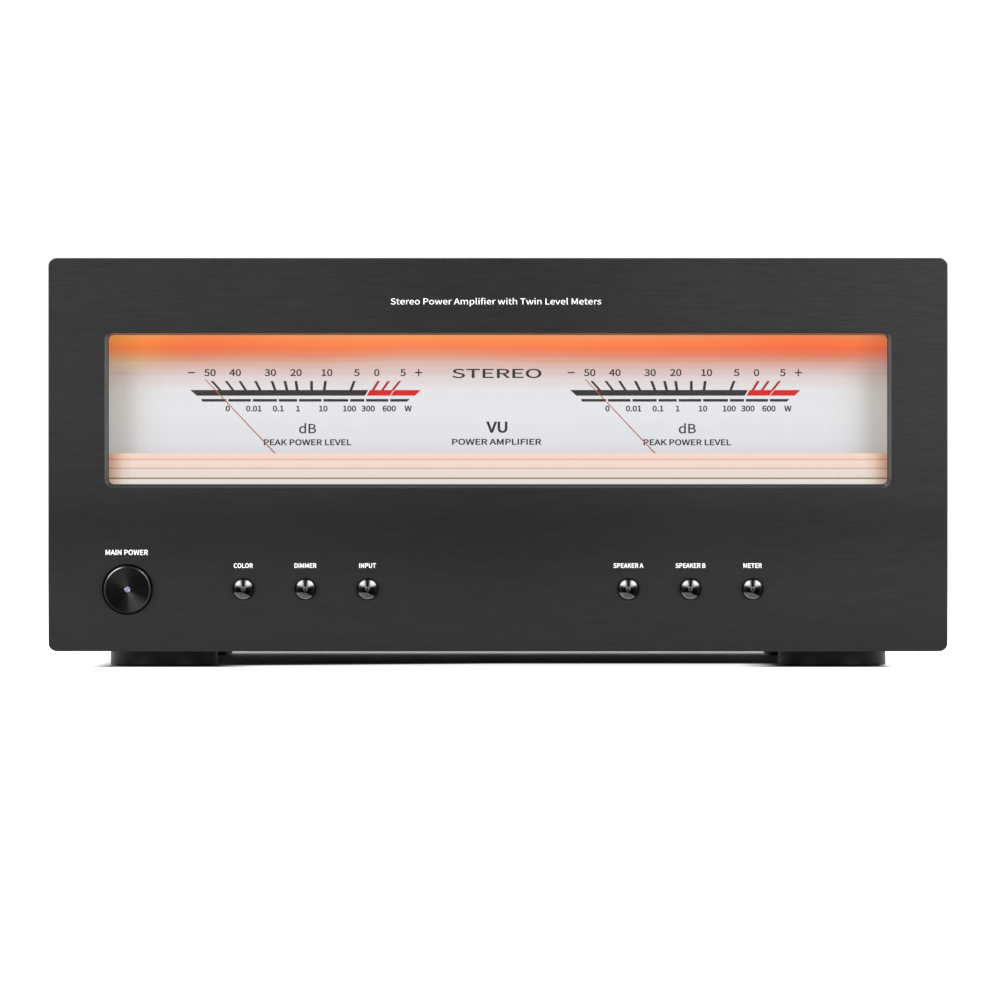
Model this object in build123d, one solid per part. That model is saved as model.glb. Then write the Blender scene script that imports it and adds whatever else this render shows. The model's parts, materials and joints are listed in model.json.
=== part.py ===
from build123d import *
import os
from math import cos, radians, sin, tan

# Stereo power amplifier with a wide front window that shows two power meters.
# Frame: +X to the right seen from the front, +Y to the rear, +Z up, millimetres.
# The origin lies on the resting plane, at the centre of the bounding box.
# A depth is counted backwards from the front face of the front panel.

# ---- Driving dimensions ------------------------------------------------------------------
PANEL_W, PANEL_H, PANEL_T = 440.0, 192.5, 10.0
PANEL_CORNER_R = 4.0
PANEL_EDGE = 0.6
PANEL_LIFT = 8.0                      # lower edge of the front panel above the resting plane
CHASSIS_DEPTH = 400.0                 # front face of the panel to the outer face of the rear panel
SHEET = 2.0
COVER_SHEET = 1.5
COVER_W = 430.0
TRAY_Z = 14.0                         # underside of the bottom tray
COVER_DROP = 2.0                      # top of the cover below the top of the panel
SHEET_GAP = 0.5                       # between the cover and the sheets inside it

MID_Z = PANEL_LIFT + PANEL_H / 2      # height of the panel's centre line
COVER_TOP = PANEL_LIFT + PANEL_H - COVER_DROP
INNER_X = COVER_W / 2 - COVER_SHEET   # inner face of the cover's side
REAR_IN = CHASSIS_DEPTH - SHEET       # depth of the rear panel's inner face
TRAY_TOP = TRAY_Z + SHEET
FRAME_X = INNER_X - SHEET_GAP         # half width of the subpanel, tray and rear panel
FRAME_TOP = COVER_TOP - COVER_SHEET - SHEET_GAP

# Window and the light box behind it. Heights are counted from MID_Z.
WINDOW_W = 381.2
WINDOW_TOP, WINDOW_BOTTOM = 58.65, -14.45
WINDOW_CORNER_R = 2.6
WINDOW_BEVEL = 1.9
GLASS_MARGIN, GLASS_T, GLASS_DEPTH = 4.5, 3.0, 5.0
GASKET_T = PANEL_T - GLASS_DEPTH - GLASS_T
LIGHT_BOX_BACK = 54.0
LIGHT_BOX_WALL = 3.0
CAVITY_HALF_W = WINDOW_W / 2 + 2.0
CAVITY_TOP, CAVITY_BOTTOM = 62.5, -31.0
DIAL_DEPTH, DIAL_T = 46.0, 1.5

# Stepped ledge at the foot of the dial
STEP_TOPS = (-11.7, -7.05, -2.7, 0.7)  # heights of the treads above MID_Z, front to back
STEP_DEPTH, STEP_FRONT = 5.5, 16.0
STEP_GROOVE_H, STEP_GROOVE_D = 0.5, 1.2  # shadow groove at the foot of each riser

# Meters. A needle rests on the first mark of its scale.
METER_X = (-92.0, 95.4)
METER_Z = MID_Z - 18.4
NEEDLE_LENGTH, NEEDLE_T = 76.4, 0.5
NEEDLE_ROOT_W, NEEDLE_TIP_W = 0.65, 0.4
NEEDLE_REST = -43.3                   # degrees from upright, negative to the left
NEEDLE_DEPTH = 42.4
HUB_R = 3.2
TAIL_LENGTH, WEIGHT_R = 8.0, 1.8      # the counterweight sits at the tail's end
STAFF_R = 0.8
MOVEMENT_R, MOVEMENT_H = 17.0, 22.0
RUNNING_GAP = 0.05                    # radial clearance between parts that turn or slide on each other

# Front buttons
POWER_X, POWER_Z = -181.3, MID_Z - 65.9
POWER_R, POWER_HOLE_R = 11.7, 12.5
POWER_PROUD, POWER_TRAVEL = 3.0, 1.5
LAMP_HOLE_R, LAMP_HOLE_DEEP = 1.45, 5.0
BUTTON_X = (-124.6, -94.2, -63.8, 63.8, 94.2, 124.6)
BUTTON_Z = MID_Z - 65.8
BUTTON_R, BUTTON_HOLE_R = 5.2, 5.4
BUTTON_PROUD, BUTTON_TRAVEL = 2.0, 1.0
BUTTON_NAMES = ("colour", "dimmer", "input", "speaker_a", "speaker_b", "meter")
BUTTON_FLANGE = 1.2                   # how far a button's flange reaches past its cap
BUTTON_STEM_R = 2.5
DIMPLE_R = 0.6                        # at the centre of a button's dished face
BOARD_DEPTH, BOARD_T, SWITCH_H = 25.0, 1.6, 5.0
SWITCH_GAP = 0.05                     # between a pressed button's stem and its switch

# Feet
FOOT_R, FOOT_X, FOOT_DEPTHS = 26.5, 165.0, (55.0, 350.0)
PAD_R, PAD_T, PAD_RECESS = 24.0, 3.0, 2.4

# Speaker terminals: each channel has sets A and B of two posts.
POST_PAIR_X, POST_PITCH, POST_Z = (103.0, 163.0), 26.0, 84.0
POST_STEM_R, POST_STEM_OUT = 4.0, 28.0
BANANA_R, BANANA_LENGTH = 2.0, 16.0
KNOB_R, KNOB_LENGTH = 7.5, 24.5
INSULATOR_R, INSULATOR_OUT = 8.0, 4.0
CLAMP_WASHER_T = 1.5
POST_END = CHASSIS_DEPTH + INSULATOR_OUT + CLAMP_WASHER_T + KNOB_LENGTH

# Signal and mains connectors on the rear panel
XLR_X, XLR_Z, XLR_HOLE_R = 64.0, 158.0, 12.0
XLR_BORE_R, XLR_INSERT_R = 9.7, 7.7
XLR_FLOOR = CHASSIS_DEPTH - 14.0      # depth of the recess around the insert
XLR_FACE = CHASSIS_DEPTH - 4.0        # depth of the insert's face
RCA_X, RCA_Z, RCA_R, RCA_OUT = 108.0, 158.0, 4.15, 9.5
INLET_Z, INLET_W, INLET_H = 62.0, 32.0, 58.0
ROCKER_Z, ROCKER_HALF, ROCKER_TILT = INLET_Z + 15.5, 7.0, 10.0
ROCKER_DEPTH = CHASSIS_DEPTH - 2.0

# Screws: M4 button heads
SCREW_R, SCREW_HOLE_R, SCREW_LENGTH = 2.0, 2.15, 8.0
HEAD_R, HEAD_H, SOCKET_AF = 3.8, 2.2, 2.5
SIDE_SCREWS = [(60.0, 25.0), (205.0, 25.0), (345.0, 25.0), (18.0, 180.0), (391.0, 180.0)]  # depth, Z
PANEL_SCREWS = [(x, z) for x in (-200.0, 0.0, 200.0) for z in (MID_Z - 78.0, MID_Z + 83.0)]
TRAY_SCREWS = [(x, d) for x in (-100.0, 0.0, 100.0) for d in (18.0, 391.0)]
FOOT_SCREWS = [(x, d) for x in (-FOOT_X, FOOT_X) for d in FOOT_DEPTHS]
FOOT_SCREW_SEAT = 5.0                 # a foot screw's head sits this far below the tray
FLANGE, REAR_FLANGE = 12.0, 15.0      # widths of the folded sheet flanges

# Power stage
HEATSINK_X, HEATSINK_BASE, HEATSINK_REACH = 150.0, 8.0, 205.0
HEATSINK_DEPTHS, HEATSINK_Z = (90.0, 373.2), (20.0, 188.0)
FIN_T, FIN_PITCH = 2.4, 10.4
TOROID_X, TOROID_DEPTH, TOROID_R, TOROID_HOLE_R = 61.0, 142.0, 59.0, 18.0
TOROID_Z, TOROID_H = TRAY_TOP + 2.0, 62.0
PSU_DEPTHS, PSU_X, PSU_Z = (212.0, 330.0), 112.0, TRAY_TOP + 8.0
CAPACITOR_R, CAPACITOR_H = 17.5, 70.0

TOTAL_DEPTH = POWER_PROUD + POST_END
FRONT_Y = POWER_PROUD - TOTAL_DEPTH / 2


# ---- Shape helpers -----------------------------------------------------------------------
def at_depth(depth):
    """Y of a depth behind the panel's front face."""
    return FRONT_Y + depth


def block(x0, x1, d0, d1, z0, z1):
    """A box between two X values, two depths and two heights."""
    centre = Pos((x0 + x1) / 2, at_depth((d0 + d1) / 2), (z0 + z1) / 2)
    return centre * Box(x1 - x0, d1 - d0, z1 - z0)


def rod_x(depth, z, r, x0, x1):
    return Pos((x0 + x1) / 2, at_depth(depth), z) * Rot(0, 90, 0) * Cylinder(r, x1 - x0)


def rod_y(x, z, r, d0, d1):
    return Pos(x, at_depth((d0 + d1) / 2), z) * Rot(90, 0, 0) * Cylinder(r, d1 - d0)


def rod_z(x, depth, r, z0, z1):
    return Pos(x, at_depth(depth), (z0 + z1) / 2) * Cylinder(r, z1 - z0)


def prism_y(sketch, d0, d1, x=0.0, z=0.0):
    """Extrudes a sketch, drawn as seen from the front, backwards from depth d0 to d1."""
    plane = Plane(origin=(x, at_depth(d0), z), x_dir=(1, 0, 0), z_dir=(0, -1, 0))
    return extrude(plane * sketch, amount=-(d1 - d0))


def prism_x(points, x0, x1):
    """Extrudes a closed outline of (depth, height) points along X."""
    outline = [(at_depth(d), z) for d, z in points]
    plane = Plane(origin=(x0, 0, 0), x_dir=(0, 1, 0), z_dir=(1, 0, 0))
    return extrude(plane * Polygon(*outline, align=None), amount=x1 - x0, dir=(1, 0, 0))


def plate_y(w, h, r, d0, d1, x=0.0, z=0.0):
    """A plate with rounded corners, facing the front."""
    return prism_y(RectangleRounded(w, h, r), d0, d1, x, z)


def window_plate(margin, r, d0, d1):
    """A plate that is larger than the window by a margin on every side."""
    height = WINDOW_TOP - WINDOW_BOTTOM + 2 * margin
    middle = MID_Z + (WINDOW_TOP + WINDOW_BOTTOM) / 2
    return plate_y(WINDOW_W + 2 * margin, height, r, d0, d1, z=middle)


def joined(shapes):
    """Separate solids kept side by side in one compound."""
    return Compound(children=[s for shape in shapes for s in shape.solids()])


def fused(first, *others):
    for other in others:
        first = first + other
    return first


def less(first, *others):
    """Cuts every other shape out of the first, in one operation."""
    return first - list(others)


def both_sides(shape):
    """The shape and its mirror image across the middle of the amplifier."""
    return [shape, mirror(shape, about=Plane.YZ)]


# ---- Screws ------------------------------------------------------------------------------
def button_screw():
    """An M4 button-head screw with its head's seat at the origin and its shank along -Z."""
    head = extrude(Circle(HEAD_R), amount=HEAD_H)
    head = fillet(head.edges().sort_by(Axis.Z)[-1], 1.6)
    shank = extrude(Circle(SCREW_R), amount=-SCREW_LENGTH)
    socket = extrude(RegularPolygon(SOCKET_AF / 2, 6, major_radius=False), amount=2.0)
    return head + shank - Pos(0, 0, HEAD_H - 1.4) * socket


def machine_screws():
    screw = button_screw()
    placed = []
    for depth, z in SIDE_SCREWS:
        right = Pos(COVER_W / 2, at_depth(depth), z) * Rot(0, 90, 0) * screw
        placed += both_sides(right)
    for x, z in PANEL_SCREWS:
        placed.append(Pos(x, at_depth(PANEL_T + SHEET), z) * Rot(-90, 0, 0) * screw)
    for x, depth in TRAY_SCREWS:
        placed.append(Pos(x, at_depth(depth), TRAY_Z) * Rot(180, 0, 0) * screw)
    for x, depth in FOOT_SCREWS:
        placed.append(Pos(x, at_depth(depth), TRAY_Z - FOOT_SCREW_SEAT) * Rot(180, 0, 0) * screw)
    return joined(placed)


# ---- Front panel and window --------------------------------------------------------------
def front_panel():
    panel = plate_y(PANEL_W, PANEL_H, PANEL_CORNER_R, 0, PANEL_T, z=MID_Z)
    front_edges = panel.faces().sort_by(Axis.Y)[0].edges()
    panel = chamfer(front_edges, PANEL_EDGE)
    panel -= window_plate(0, WINDOW_CORNER_R, -1, PANEL_T + 1)
    window_edges = panel.faces().sort_by(Axis.Y)[0].inner_wires()[0].edges()
    panel = chamfer(window_edges, WINDOW_BEVEL)
    panel -= window_plate(GLASS_MARGIN, 4.0, GLASS_DEPTH, PANEL_T + 1)
    holes = [rod_y(POWER_X, POWER_Z, POWER_HOLE_R, -1, PANEL_T + 1)]
    holes += [rod_y(x, BUTTON_Z, BUTTON_HOLE_R, -1, PANEL_T + 1) for x in BUTTON_X]
    holes += [rod_y(x, z, SCREW_HOLE_R, 3.5, PANEL_T + 1) for x, z in PANEL_SCREWS]
    return less(panel, *holes)


def window_glass():
    return window_plate(GLASS_MARGIN - 0.3, 3.7, GLASS_DEPTH, GLASS_DEPTH + GLASS_T)


def window_gasket():
    d0 = GLASS_DEPTH + GLASS_T
    outer = window_plate(GLASS_MARGIN - 0.3, 3.7, d0, PANEL_T)
    return outer - window_plate(1.5, 2.0, d0 - 1, PANEL_T + 1)


def front_subpanel():
    """Folded steel sheet that joins the front panel to the tray and the cover."""
    x, top = FRAME_X, FRAME_TOP
    d0, d1 = PANEL_T, PANEL_T + SHEET
    sheet = block(-x, x, d0, d1, TRAY_TOP, top)
    sheet += block(-x + SHEET, x - SHEET, d0, d1 + FLANGE, TRAY_TOP, TRAY_TOP + SHEET)
    for side in both_sides(block(x - SHEET, x, d0, d1 + FLANGE, TRAY_TOP + 20, top)):
        sheet += side
    cuts = [window_plate(2.5, 3.0, d0 - 1, d1 + 1), rod_y(POWER_X, POWER_Z, 15.0, d0 - 1, d1 + 1)]
    cuts += [rod_y(bx, BUTTON_Z, 7.0, d0 - 1, d1 + 1) for bx in BUTTON_X]
    cuts += [rod_y(sx, z, SCREW_HOLE_R, d0 - 1, d1 + 1) for sx, z in PANEL_SCREWS]
    cuts += [rod_z(sx, d, SCREW_HOLE_R, TRAY_Z, TRAY_TOP + 3) for sx, d in TRAY_SCREWS if d < 100]
    cuts += [rod_x(d, z, SCREW_HOLE_R, -230, 230) for d, z in SIDE_SCREWS if d < 30]
    return less(sheet, *cuts)


# ---- Light box, dial and meters ----------------------------------------------------------
def meter_housing():
    """White moulded box behind the window: open at the front, with a flange on the subpanel."""
    d0 = PANEL_T + SHEET
    w, wall = CAVITY_HALF_W, LIGHT_BOX_WALL
    low, high = MID_Z + CAVITY_BOTTOM, MID_Z + CAVITY_TOP
    shell = block(-w - wall, w + wall, d0, LIGHT_BOX_BACK, low - wall, high + wall)
    shell += block(-w - 9, w + 9, d0, d0 + 2, low - 9, high + 9)
    shell -= block(-w, w, d0 - 1, LIGHT_BOX_BACK - wall, low, high)
    for x in METER_X:
        shell -= rod_y(x, METER_Z, 7.0, LIGHT_BOX_BACK - wall - 1, LIGHT_BOX_BACK + 1)
    return shell


def dial_plate():
    """Flat translucent dial shared by both meters, with a clearance hole for each staff."""
    w = CAVITY_HALF_W - 0.3
    low, high = MID_Z + CAVITY_BOTTOM, MID_Z + CAVITY_TOP - 0.3
    plate = block(-w, w, DIAL_DEPTH, DIAL_DEPTH + DIAL_T, low, high)
    holes = [rod_y(x, METER_Z, 4.0, DIAL_DEPTH - 1, DIAL_DEPTH + DIAL_T + 1) for x in METER_X]
    return less(plate, *holes)


def dial_step_trim():
    """White stepped ledge along the foot of the dial. It hides the needle hubs."""
    low = MID_Z + CAVITY_BOTTOM
    outline = [(STEP_FRONT, low)]
    for i, top in enumerate(STEP_TOPS):
        riser = STEP_FRONT + i * STEP_DEPTH
        foot = MID_Z + (STEP_TOPS[i - 1] if i else WINDOW_BOTTOM - 2.0)
        outline += [(riser, foot)] if i else []
        groove = [(riser + STEP_GROOVE_D, foot), (riser + STEP_GROOVE_D, foot + STEP_GROOVE_H)]
        outline += groove + [(riser, foot + STEP_GROOVE_H)] if i else []
        outline += [(riser, MID_Z + top)]
    back = STEP_FRONT + len(STEP_TOPS) * STEP_DEPTH
    outline += [(back, MID_Z + STEP_TOPS[-1]), (back, low)]
    w = CAVITY_HALF_W - 0.3
    return prism_x(outline, -w, w)


def dial_light_board():
    """Strip board under the light box's ceiling, with a row of lamps that shine on the dial."""
    z1 = MID_Z + CAVITY_TOP
    board = block(-186, 186, 20, 30, z1 - 1.6, z1)
    lamps = [block(x - 1.75, x + 1.75, 23.6, 26.4, z1 - 3.0, z1 - 1.6) for x in range(-180, 181, 12)]
    return joined([board] + lamps)


def meter_movement(x):
    """Round moving-coil movement with two fixing ears and two terminals."""
    d0, end = LIGHT_BOX_BACK, LIGHT_BOX_BACK + MOVEMENT_H
    can = rod_y(x, METER_Z, MOVEMENT_R, d0, end)
    can = fillet(can.edges().sort_by(Axis.Y)[-1], 2.0)
    ears = plate_y(48, 12, 5.5, d0, d0 + 2, x, METER_Z)
    terminals = [rod_y(x + s * 6, METER_Z, 1.5, end - 1, end + 6) for s in (-1, 1)]
    bearing = rod_y(x, METER_Z, STAFF_R + RUNNING_GAP, d0 - 1, d0 + 12)
    ear_holes = [rod_y(x + s * 20.5, METER_Z, 1.6, d0 - 1, d0 + 3) for s in (-1, 1)]
    return less(fused(can, ears, *terminals), bearing, *ear_holes)


def needle(x):
    """Pointer with hub, counterweight and staff. It turns about the staff."""
    d0, root, tip = NEEDLE_DEPTH, NEEDLE_ROOT_W / 2, NEEDLE_TIP_W / 2
    blade = Polygon((-root, 0), (-tip, NEEDLE_LENGTH), (tip, NEEDLE_LENGTH), (root, 0), align=None)
    tail = Pos(0, -TAIL_LENGTH / 2) * Rectangle(2 * root, TAIL_LENGTH)
    weight = Pos(0, -TAIL_LENGTH) * Circle(WEIGHT_R)
    turn = Rot(0, 0, -NEEDLE_REST)
    pointer = prism_y(turn * (blade + tail), d0, d0 + NEEDLE_T, x, METER_Z)
    counterweight = prism_y(turn * weight, d0 - 0.4, d0 + NEEDLE_T + 0.4, x, METER_Z)
    hub = rod_y(x, METER_Z, HUB_R, d0 - 1.2, d0 + 1.8)
    staff = rod_y(x, METER_Z, STAFF_R, d0, LIGHT_BOX_BACK + 10)
    return fused(pointer, hub, counterweight, staff)


# ---- Front buttons -----------------------------------------------------------------------
def push_button(x, z, r, proud, travel):
    """Turned cap with a dished face, a flange behind the panel and a stem towards its switch."""
    face = -proud
    cap = chamfer(rod_y(x, z, r, face, PANEL_T + 0.3).edges().sort_by(Axis.Y)[0], 0.4)
    dish_r, dish_deep = r - 0.9, r * 0.06
    cone = Cone(dish_r, 0.05, dish_deep, align=(Align.CENTER, Align.CENTER, Align.MIN))
    dish = Pos(x, at_depth(face), z) * Rot(-90, 0, 0) * cone
    dimple = rod_y(x, z, DIMPLE_R, face, face + dish_deep + 0.5)
    flange = rod_y(x, z, r + BUTTON_FLANGE, PANEL_T + 0.3, PANEL_T + 1.5)
    stem = rod_y(x, z, BUTTON_STEM_R, PANEL_T + 1.5, BOARD_DEPTH - SWITCH_H - travel - SWITCH_GAP)
    return less(fused(cap, flange, stem), dish, dimple)


def power_button():
    lamp_hole = rod_y(POWER_X, POWER_Z, LAMP_HOLE_R, -POWER_PROUD - 1, LAMP_HOLE_DEEP - POWER_PROUD)
    return push_button(POWER_X, POWER_Z, POWER_R, POWER_PROUD, POWER_TRAVEL) - lamp_hole


def button_board():
    z0, z1 = POWER_Z - 10, POWER_Z + 10
    board = block(POWER_X - 16, BUTTON_X[-1] + 16, BOARD_DEPTH, BOARD_DEPTH + BOARD_T, z0, z1)
    header = block(-20, 20, BOARD_DEPTH + BOARD_T, BOARD_DEPTH + BOARD_T + 8, POWER_Z - 4, POWER_Z + 4)
    pillars = [rod_y(x, POWER_Z, 2.5, PANEL_T + SHEET, BOARD_DEPTH) for x in (-155, -40, 40, 109.4)]
    return fused(board, header, *pillars)


def button_switches():
    """Seven tactile switches, one behind each button."""
    placed = []
    for x, z in [(POWER_X, POWER_Z)] + [(x, BUTTON_Z) for x in BUTTON_X]:
        base = block(x - 3, x + 3, BOARD_DEPTH - 3.6, BOARD_DEPTH, z - 3, z + 3)
        placed.append(base + rod_y(x, z, 1.75, BOARD_DEPTH - SWITCH_H, BOARD_DEPTH - 3.6))
    return joined(placed)


# ---- Chassis and cover -------------------------------------------------------------------
def slots_down(x, length, width, depths, z0, z1):
    """Round-ended slots through a horizontal sheet, one at each depth."""
    slot = SlotOverall(length, width)
    return [Pos(x, at_depth(d), z0) * extrude(slot, amount=z1 - z0) for d in depths]


def pitched(start, count, pitch):
    return [start + i * pitch for i in range(count)]


def bottom_plate():
    """Tray of folded sheet. Everything inside stands on it."""
    x = FRAME_X
    d0, d1 = PANEL_T, REAR_IN
    tray = block(-x, x, d0, d1, TRAY_Z, TRAY_TOP)
    for side in both_sides(block(x - SHEET, x, d0 + 16, d1 - 16, TRAY_Z, TRAY_TOP + 17)):
        tray += side
    cuts = []
    for sx in (-183, 183):
        cuts += slots_down(sx, 40, 4, pitched(100, 22, 11), TRAY_Z - 1, TRAY_TOP + 1)
    for sx, d in FOOT_SCREWS + TRAY_SCREWS:
        cuts.append(rod_z(sx, d, SCREW_HOLE_R, TRAY_Z - 1, TRAY_TOP + 1))
    cuts += [rod_z(tx, TOROID_DEPTH, 4.2, TRAY_Z - 1, TRAY_TOP + 1) for tx in (-TOROID_X, TOROID_X)]
    cuts += [rod_x(d, z, SCREW_HOLE_R, -230, 230) for d, z in SIDE_SCREWS if z < 100]
    return less(tray, *cuts)


def rear_panel():
    x, top = FRAME_X, FRAME_TOP
    sheet = block(-x, x, REAR_IN, CHASSIS_DEPTH, TRAY_Z, top)
    sheet += block(-x + SHEET, x - SHEET, REAR_IN - REAR_FLANGE, REAR_IN, TRAY_TOP, TRAY_TOP + SHEET)
    for side in both_sides(block(x - SHEET, x, REAR_IN - REAR_FLANGE, REAR_IN, TRAY_TOP + 20, top)):
        sheet += side
    d0, d1 = REAR_IN - 1, CHASSIS_DEPTH + 1
    cuts = [plate_y(INLET_W - 4.6, INLET_H - 4.6, 1.2, d0, d1, z=INLET_Z)]
    cuts += [rod_y(sx, XLR_Z, XLR_HOLE_R, d0, d1) for sx in (-XLR_X, XLR_X)]
    cuts += [rod_y(sx, RCA_Z, RCA_R + 0.25, d0, d1) for sx in (-RCA_X, RCA_X)]
    cuts += [rod_y(px, POST_Z, 5.1, d0, d1) for px in post_positions()]
    vent = SlotOverall(34, 3).rotate(Axis.Z, 90)
    cuts += [prism_y(vent, d0, d1, vx, 132.0) for vx in pitched(-35, 11, 7)]
    cuts += [rod_z(sx, d, SCREW_HOLE_R, TRAY_TOP - 1, TRAY_TOP + 3) for sx, d in TRAY_SCREWS if d > 100]
    cuts += [rod_x(d, z, SCREW_HOLE_R, -230, 230) for d, z in SIDE_SCREWS if d > 380]
    return less(sheet, *cuts)


def top_cover():
    """U-shaped cover of folded sheet, with slots over the heat sinks and low on its sides."""
    w, bend = COVER_W / 2, 3.0
    d0, d1 = PANEL_T, CHASSIS_DEPTH + 1
    outer = Pos(0, (COVER_TOP + TRAY_Z) / 2) * Rectangle(COVER_W, COVER_TOP - TRAY_Z)
    outer = fillet(outer.vertices().group_by(Axis.Y)[-1], bend)
    inner_h = COVER_TOP - COVER_SHEET - TRAY_Z + 1
    inner = Pos(0, TRAY_Z - 1 + inner_h / 2) * Rectangle(2 * INNER_X, inner_h)
    inner = fillet(inner.vertices().group_by(Axis.Y)[-1], bend - COVER_SHEET)
    cover = prism_y(outer - inner, d0, d1)
    cuts = []
    for x in (-172, 172):
        cuts += slots_down(x, 64, 3.2, pitched(98, 35, 8), COVER_TOP - 3, COVER_TOP + 1)
    cuts += slots_down(0, 64, 3.2, pitched(218, 14, 8), COVER_TOP - 3, COVER_TOP + 1)
    upright = Plane(origin=(-w - 1, 0, 0), x_dir=(0, 1, 0), z_dir=(1, 0, 0))
    slot = SlotOverall(32, 3.2).rotate(Axis.Z, 90)
    for d in pitched(98, 28, 10):
        cuts.append(extrude(upright * (Pos(at_depth(d), 62) * slot), amount=COVER_W + 2))
    cuts += [rod_x(d, z, SCREW_HOLE_R, -230, 230) for d, z in SIDE_SCREWS]
    return less(cover, *cuts)


def foot(x, depth):
    body = rod_z(x, depth, FOOT_R, PAD_T - PAD_RECESS, TRAY_Z)
    body = chamfer(body.edges().sort_by(Axis.Z)[0], 0.4)
    pad_recess = rod_z(x, depth, PAD_R + 0.1, 0, PAD_T)
    head_recess = rod_z(x, depth, 6.0, 0, TRAY_Z - FOOT_SCREW_SEAT)
    shank_hole = rod_z(x, depth, SCREW_HOLE_R, 0, TRAY_Z + 1)
    return less(body, pad_recess, head_recess, shank_hole)


def foot_pad(x, depth):
    pad = rod_z(x, depth, PAD_R, 0, PAD_T) - rod_z(x, depth, 6.0, -1, PAD_T + 1)
    return chamfer(pad.edges().group_by(Axis.Z)[0].sort_by(SortBy.RADIUS)[-1], 0.6)


def at_feet(make):
    return joined([make(x, d) for x, d in FOOT_SCREWS])


# ---- Power stage -------------------------------------------------------------------------
def heatsink():
    """Right-hand extrusion: a thick base with fins towards the cover's side."""
    (d0, d1), (z0, z1) = HEATSINK_DEPTHS, HEATSINK_Z
    sink = block(HEATSINK_X, HEATSINK_X + HEATSINK_BASE, d0, d1, z0, z1)
    fin = Pos((HEATSINK_REACH + HEATSINK_X) / 2, 0) * SlotOverall(HEATSINK_REACH - HEATSINK_X, FIN_T)
    fins = Sketch() + [Pos(0, at_depth(d)) * fin for d in pitched(d0 + FIN_T / 2, 28, FIN_PITCH)]
    sink += Pos(0, 0, z0) * extrude(fins, amount=z1 - z0)
    foot_bar = block(HEATSINK_X, HEATSINK_X + HEATSINK_BASE, d0 + 6, d1 - 6, TRAY_TOP, z0)
    return sink + foot_bar


def output_transistors():
    """Eight plastic-cased transistors on the inner face of each heat sink."""
    right = []
    for d in pitched(118, 8, 33):
        case = block(HEATSINK_X - 5, HEATSINK_X, d - 10, d + 10, 66, 92)
        legs = []
        for s in (-5.45, 0, 5.45):
            legs.append(block(HEATSINK_X - 3, HEATSINK_X - 2.4, d + s - 0.6, d + s + 0.6, 50, 66))
        tab_hole = rod_x(d, 86, 1.7, HEATSINK_X - 6, HEATSINK_X + 1)
        right.append(less(fused(case, *legs), tab_hole))
    return joined([s for one in right for s in both_sides(one)])


def amplifier_boards():
    """An upright driver board beside each heat sink, with relays and small parts."""
    x = HEATSINK_X - 20
    board = block(x, x + 1.6, 100, 372, 30, 150)
    for d in (130, 190, 250, 310):
        board += block(x - 12, x, d, d + 20, 118, 142)
        board += rod_x(d + 10, 102, 5.0, x - 14, x)
        board += block(x - 18, x, d - 4, d + 22, 84, 87)
    for d in (108, 364):
        for z in (38, 142):
            board += rod_x(d, z, 3.0, x + 1.6, HEATSINK_X)
    return joined(both_sides(board))


def transformer():
    """Right-hand toroidal transformer: a taped ring with rounded edges."""
    width = TOROID_R - TOROID_HOLE_R
    section = Pos(TOROID_HOLE_R + width / 2, 0) * RectangleRounded(width, TOROID_H, 9)
    ring = revolve(Plane.XZ * section, Axis.Z)
    return Pos(TOROID_X, at_depth(TOROID_DEPTH), TOROID_Z + TOROID_H / 2) * ring


def transformer_clamps():
    """A rubber disc below, and a steel dish and bolt that hold each transformer down."""
    top = TOROID_Z + TOROID_H
    x, d = TOROID_X, TOROID_DEPTH
    hexagon, bolt_hole = RegularPolygon(6.5, 6, major_radius=False), rod_z(x, d, 4.2, 0, top + 3)
    disc = rod_z(x, d, 50, TRAY_TOP, TOROID_Z) - bolt_hole
    dish = rod_z(x, d, 34, top, top + 1.5) + rod_z(x, d, 16.5, top - 6, top) - bolt_hole
    bolt = rod_z(x, d, 4.0, TRAY_Z - 3, top + 1.5)
    head = Pos(x, at_depth(d), top + 1.5) * extrude(hexagon, amount=5.3)
    nut = Pos(x, at_depth(d), TRAY_Z - 3.0) * extrude(hexagon, amount=3.0) - rod_z(x, d, 4.0, 0, top)
    return joined([s for one in (disc, dish, bolt + head, nut) for s in both_sides(one)])


def power_supply_board():
    (d0, d1), z = PSU_DEPTHS, PSU_Z
    board = block(-PSU_X, PSU_X, d0, d1, z, z + BOARD_T)
    for x in (-PSU_X + 8, PSU_X - 8):
        for d in (d0 + 8, d1 - 8):
            board += rod_z(x, d, 3.5, TRAY_TOP, z)
    for x in (-96, 96):
        board += block(x - 5, x + 5, d0 + 40, d1 - 40, z + BOARD_T, z + BOARD_T + 12)
    return board


def capacitor(x, depth):
    z = PSU_Z + BOARD_T
    can = rod_z(x, depth, CAPACITOR_R, z, z + CAPACITOR_H)
    can = fillet(can.edges().sort_by(Axis.Z)[-1], 1.5)
    lid_recess = rod_z(x, depth, CAPACITOR_R - 2, z + CAPACITOR_H - 0.8, z + CAPACITOR_H + 1)
    return can - lid_recess


def filter_capacitors():
    spots = [(x, d) for x in (24, 65) for d in (245, 297)]
    return joined([s for x, d in spots for s in both_sides(capacitor(x, d))])


def bridge_rectifiers():
    """Two square bridges on the tray, each with four spade terminals."""
    x, d, half = 96.0, 348.0, 14.2
    body = block(x - half, x + half, d - half, d + half, TRAY_TOP, TRAY_TOP + 10)
    body = chamfer(body.edges().filter_by(Axis.Z).sort_by(Axis.Y)[0], 3.0)
    for spade_x in (x - 9, x + 9):
        for spade_d in (d - 9, d + 9):
            z0, z1 = TRAY_TOP + 10, TRAY_TOP + 24
            body += block(spade_x - 3, spade_x + 3, spade_d - 0.4, spade_d + 0.4, z0, z1)
    return joined(both_sides(body))


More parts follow.
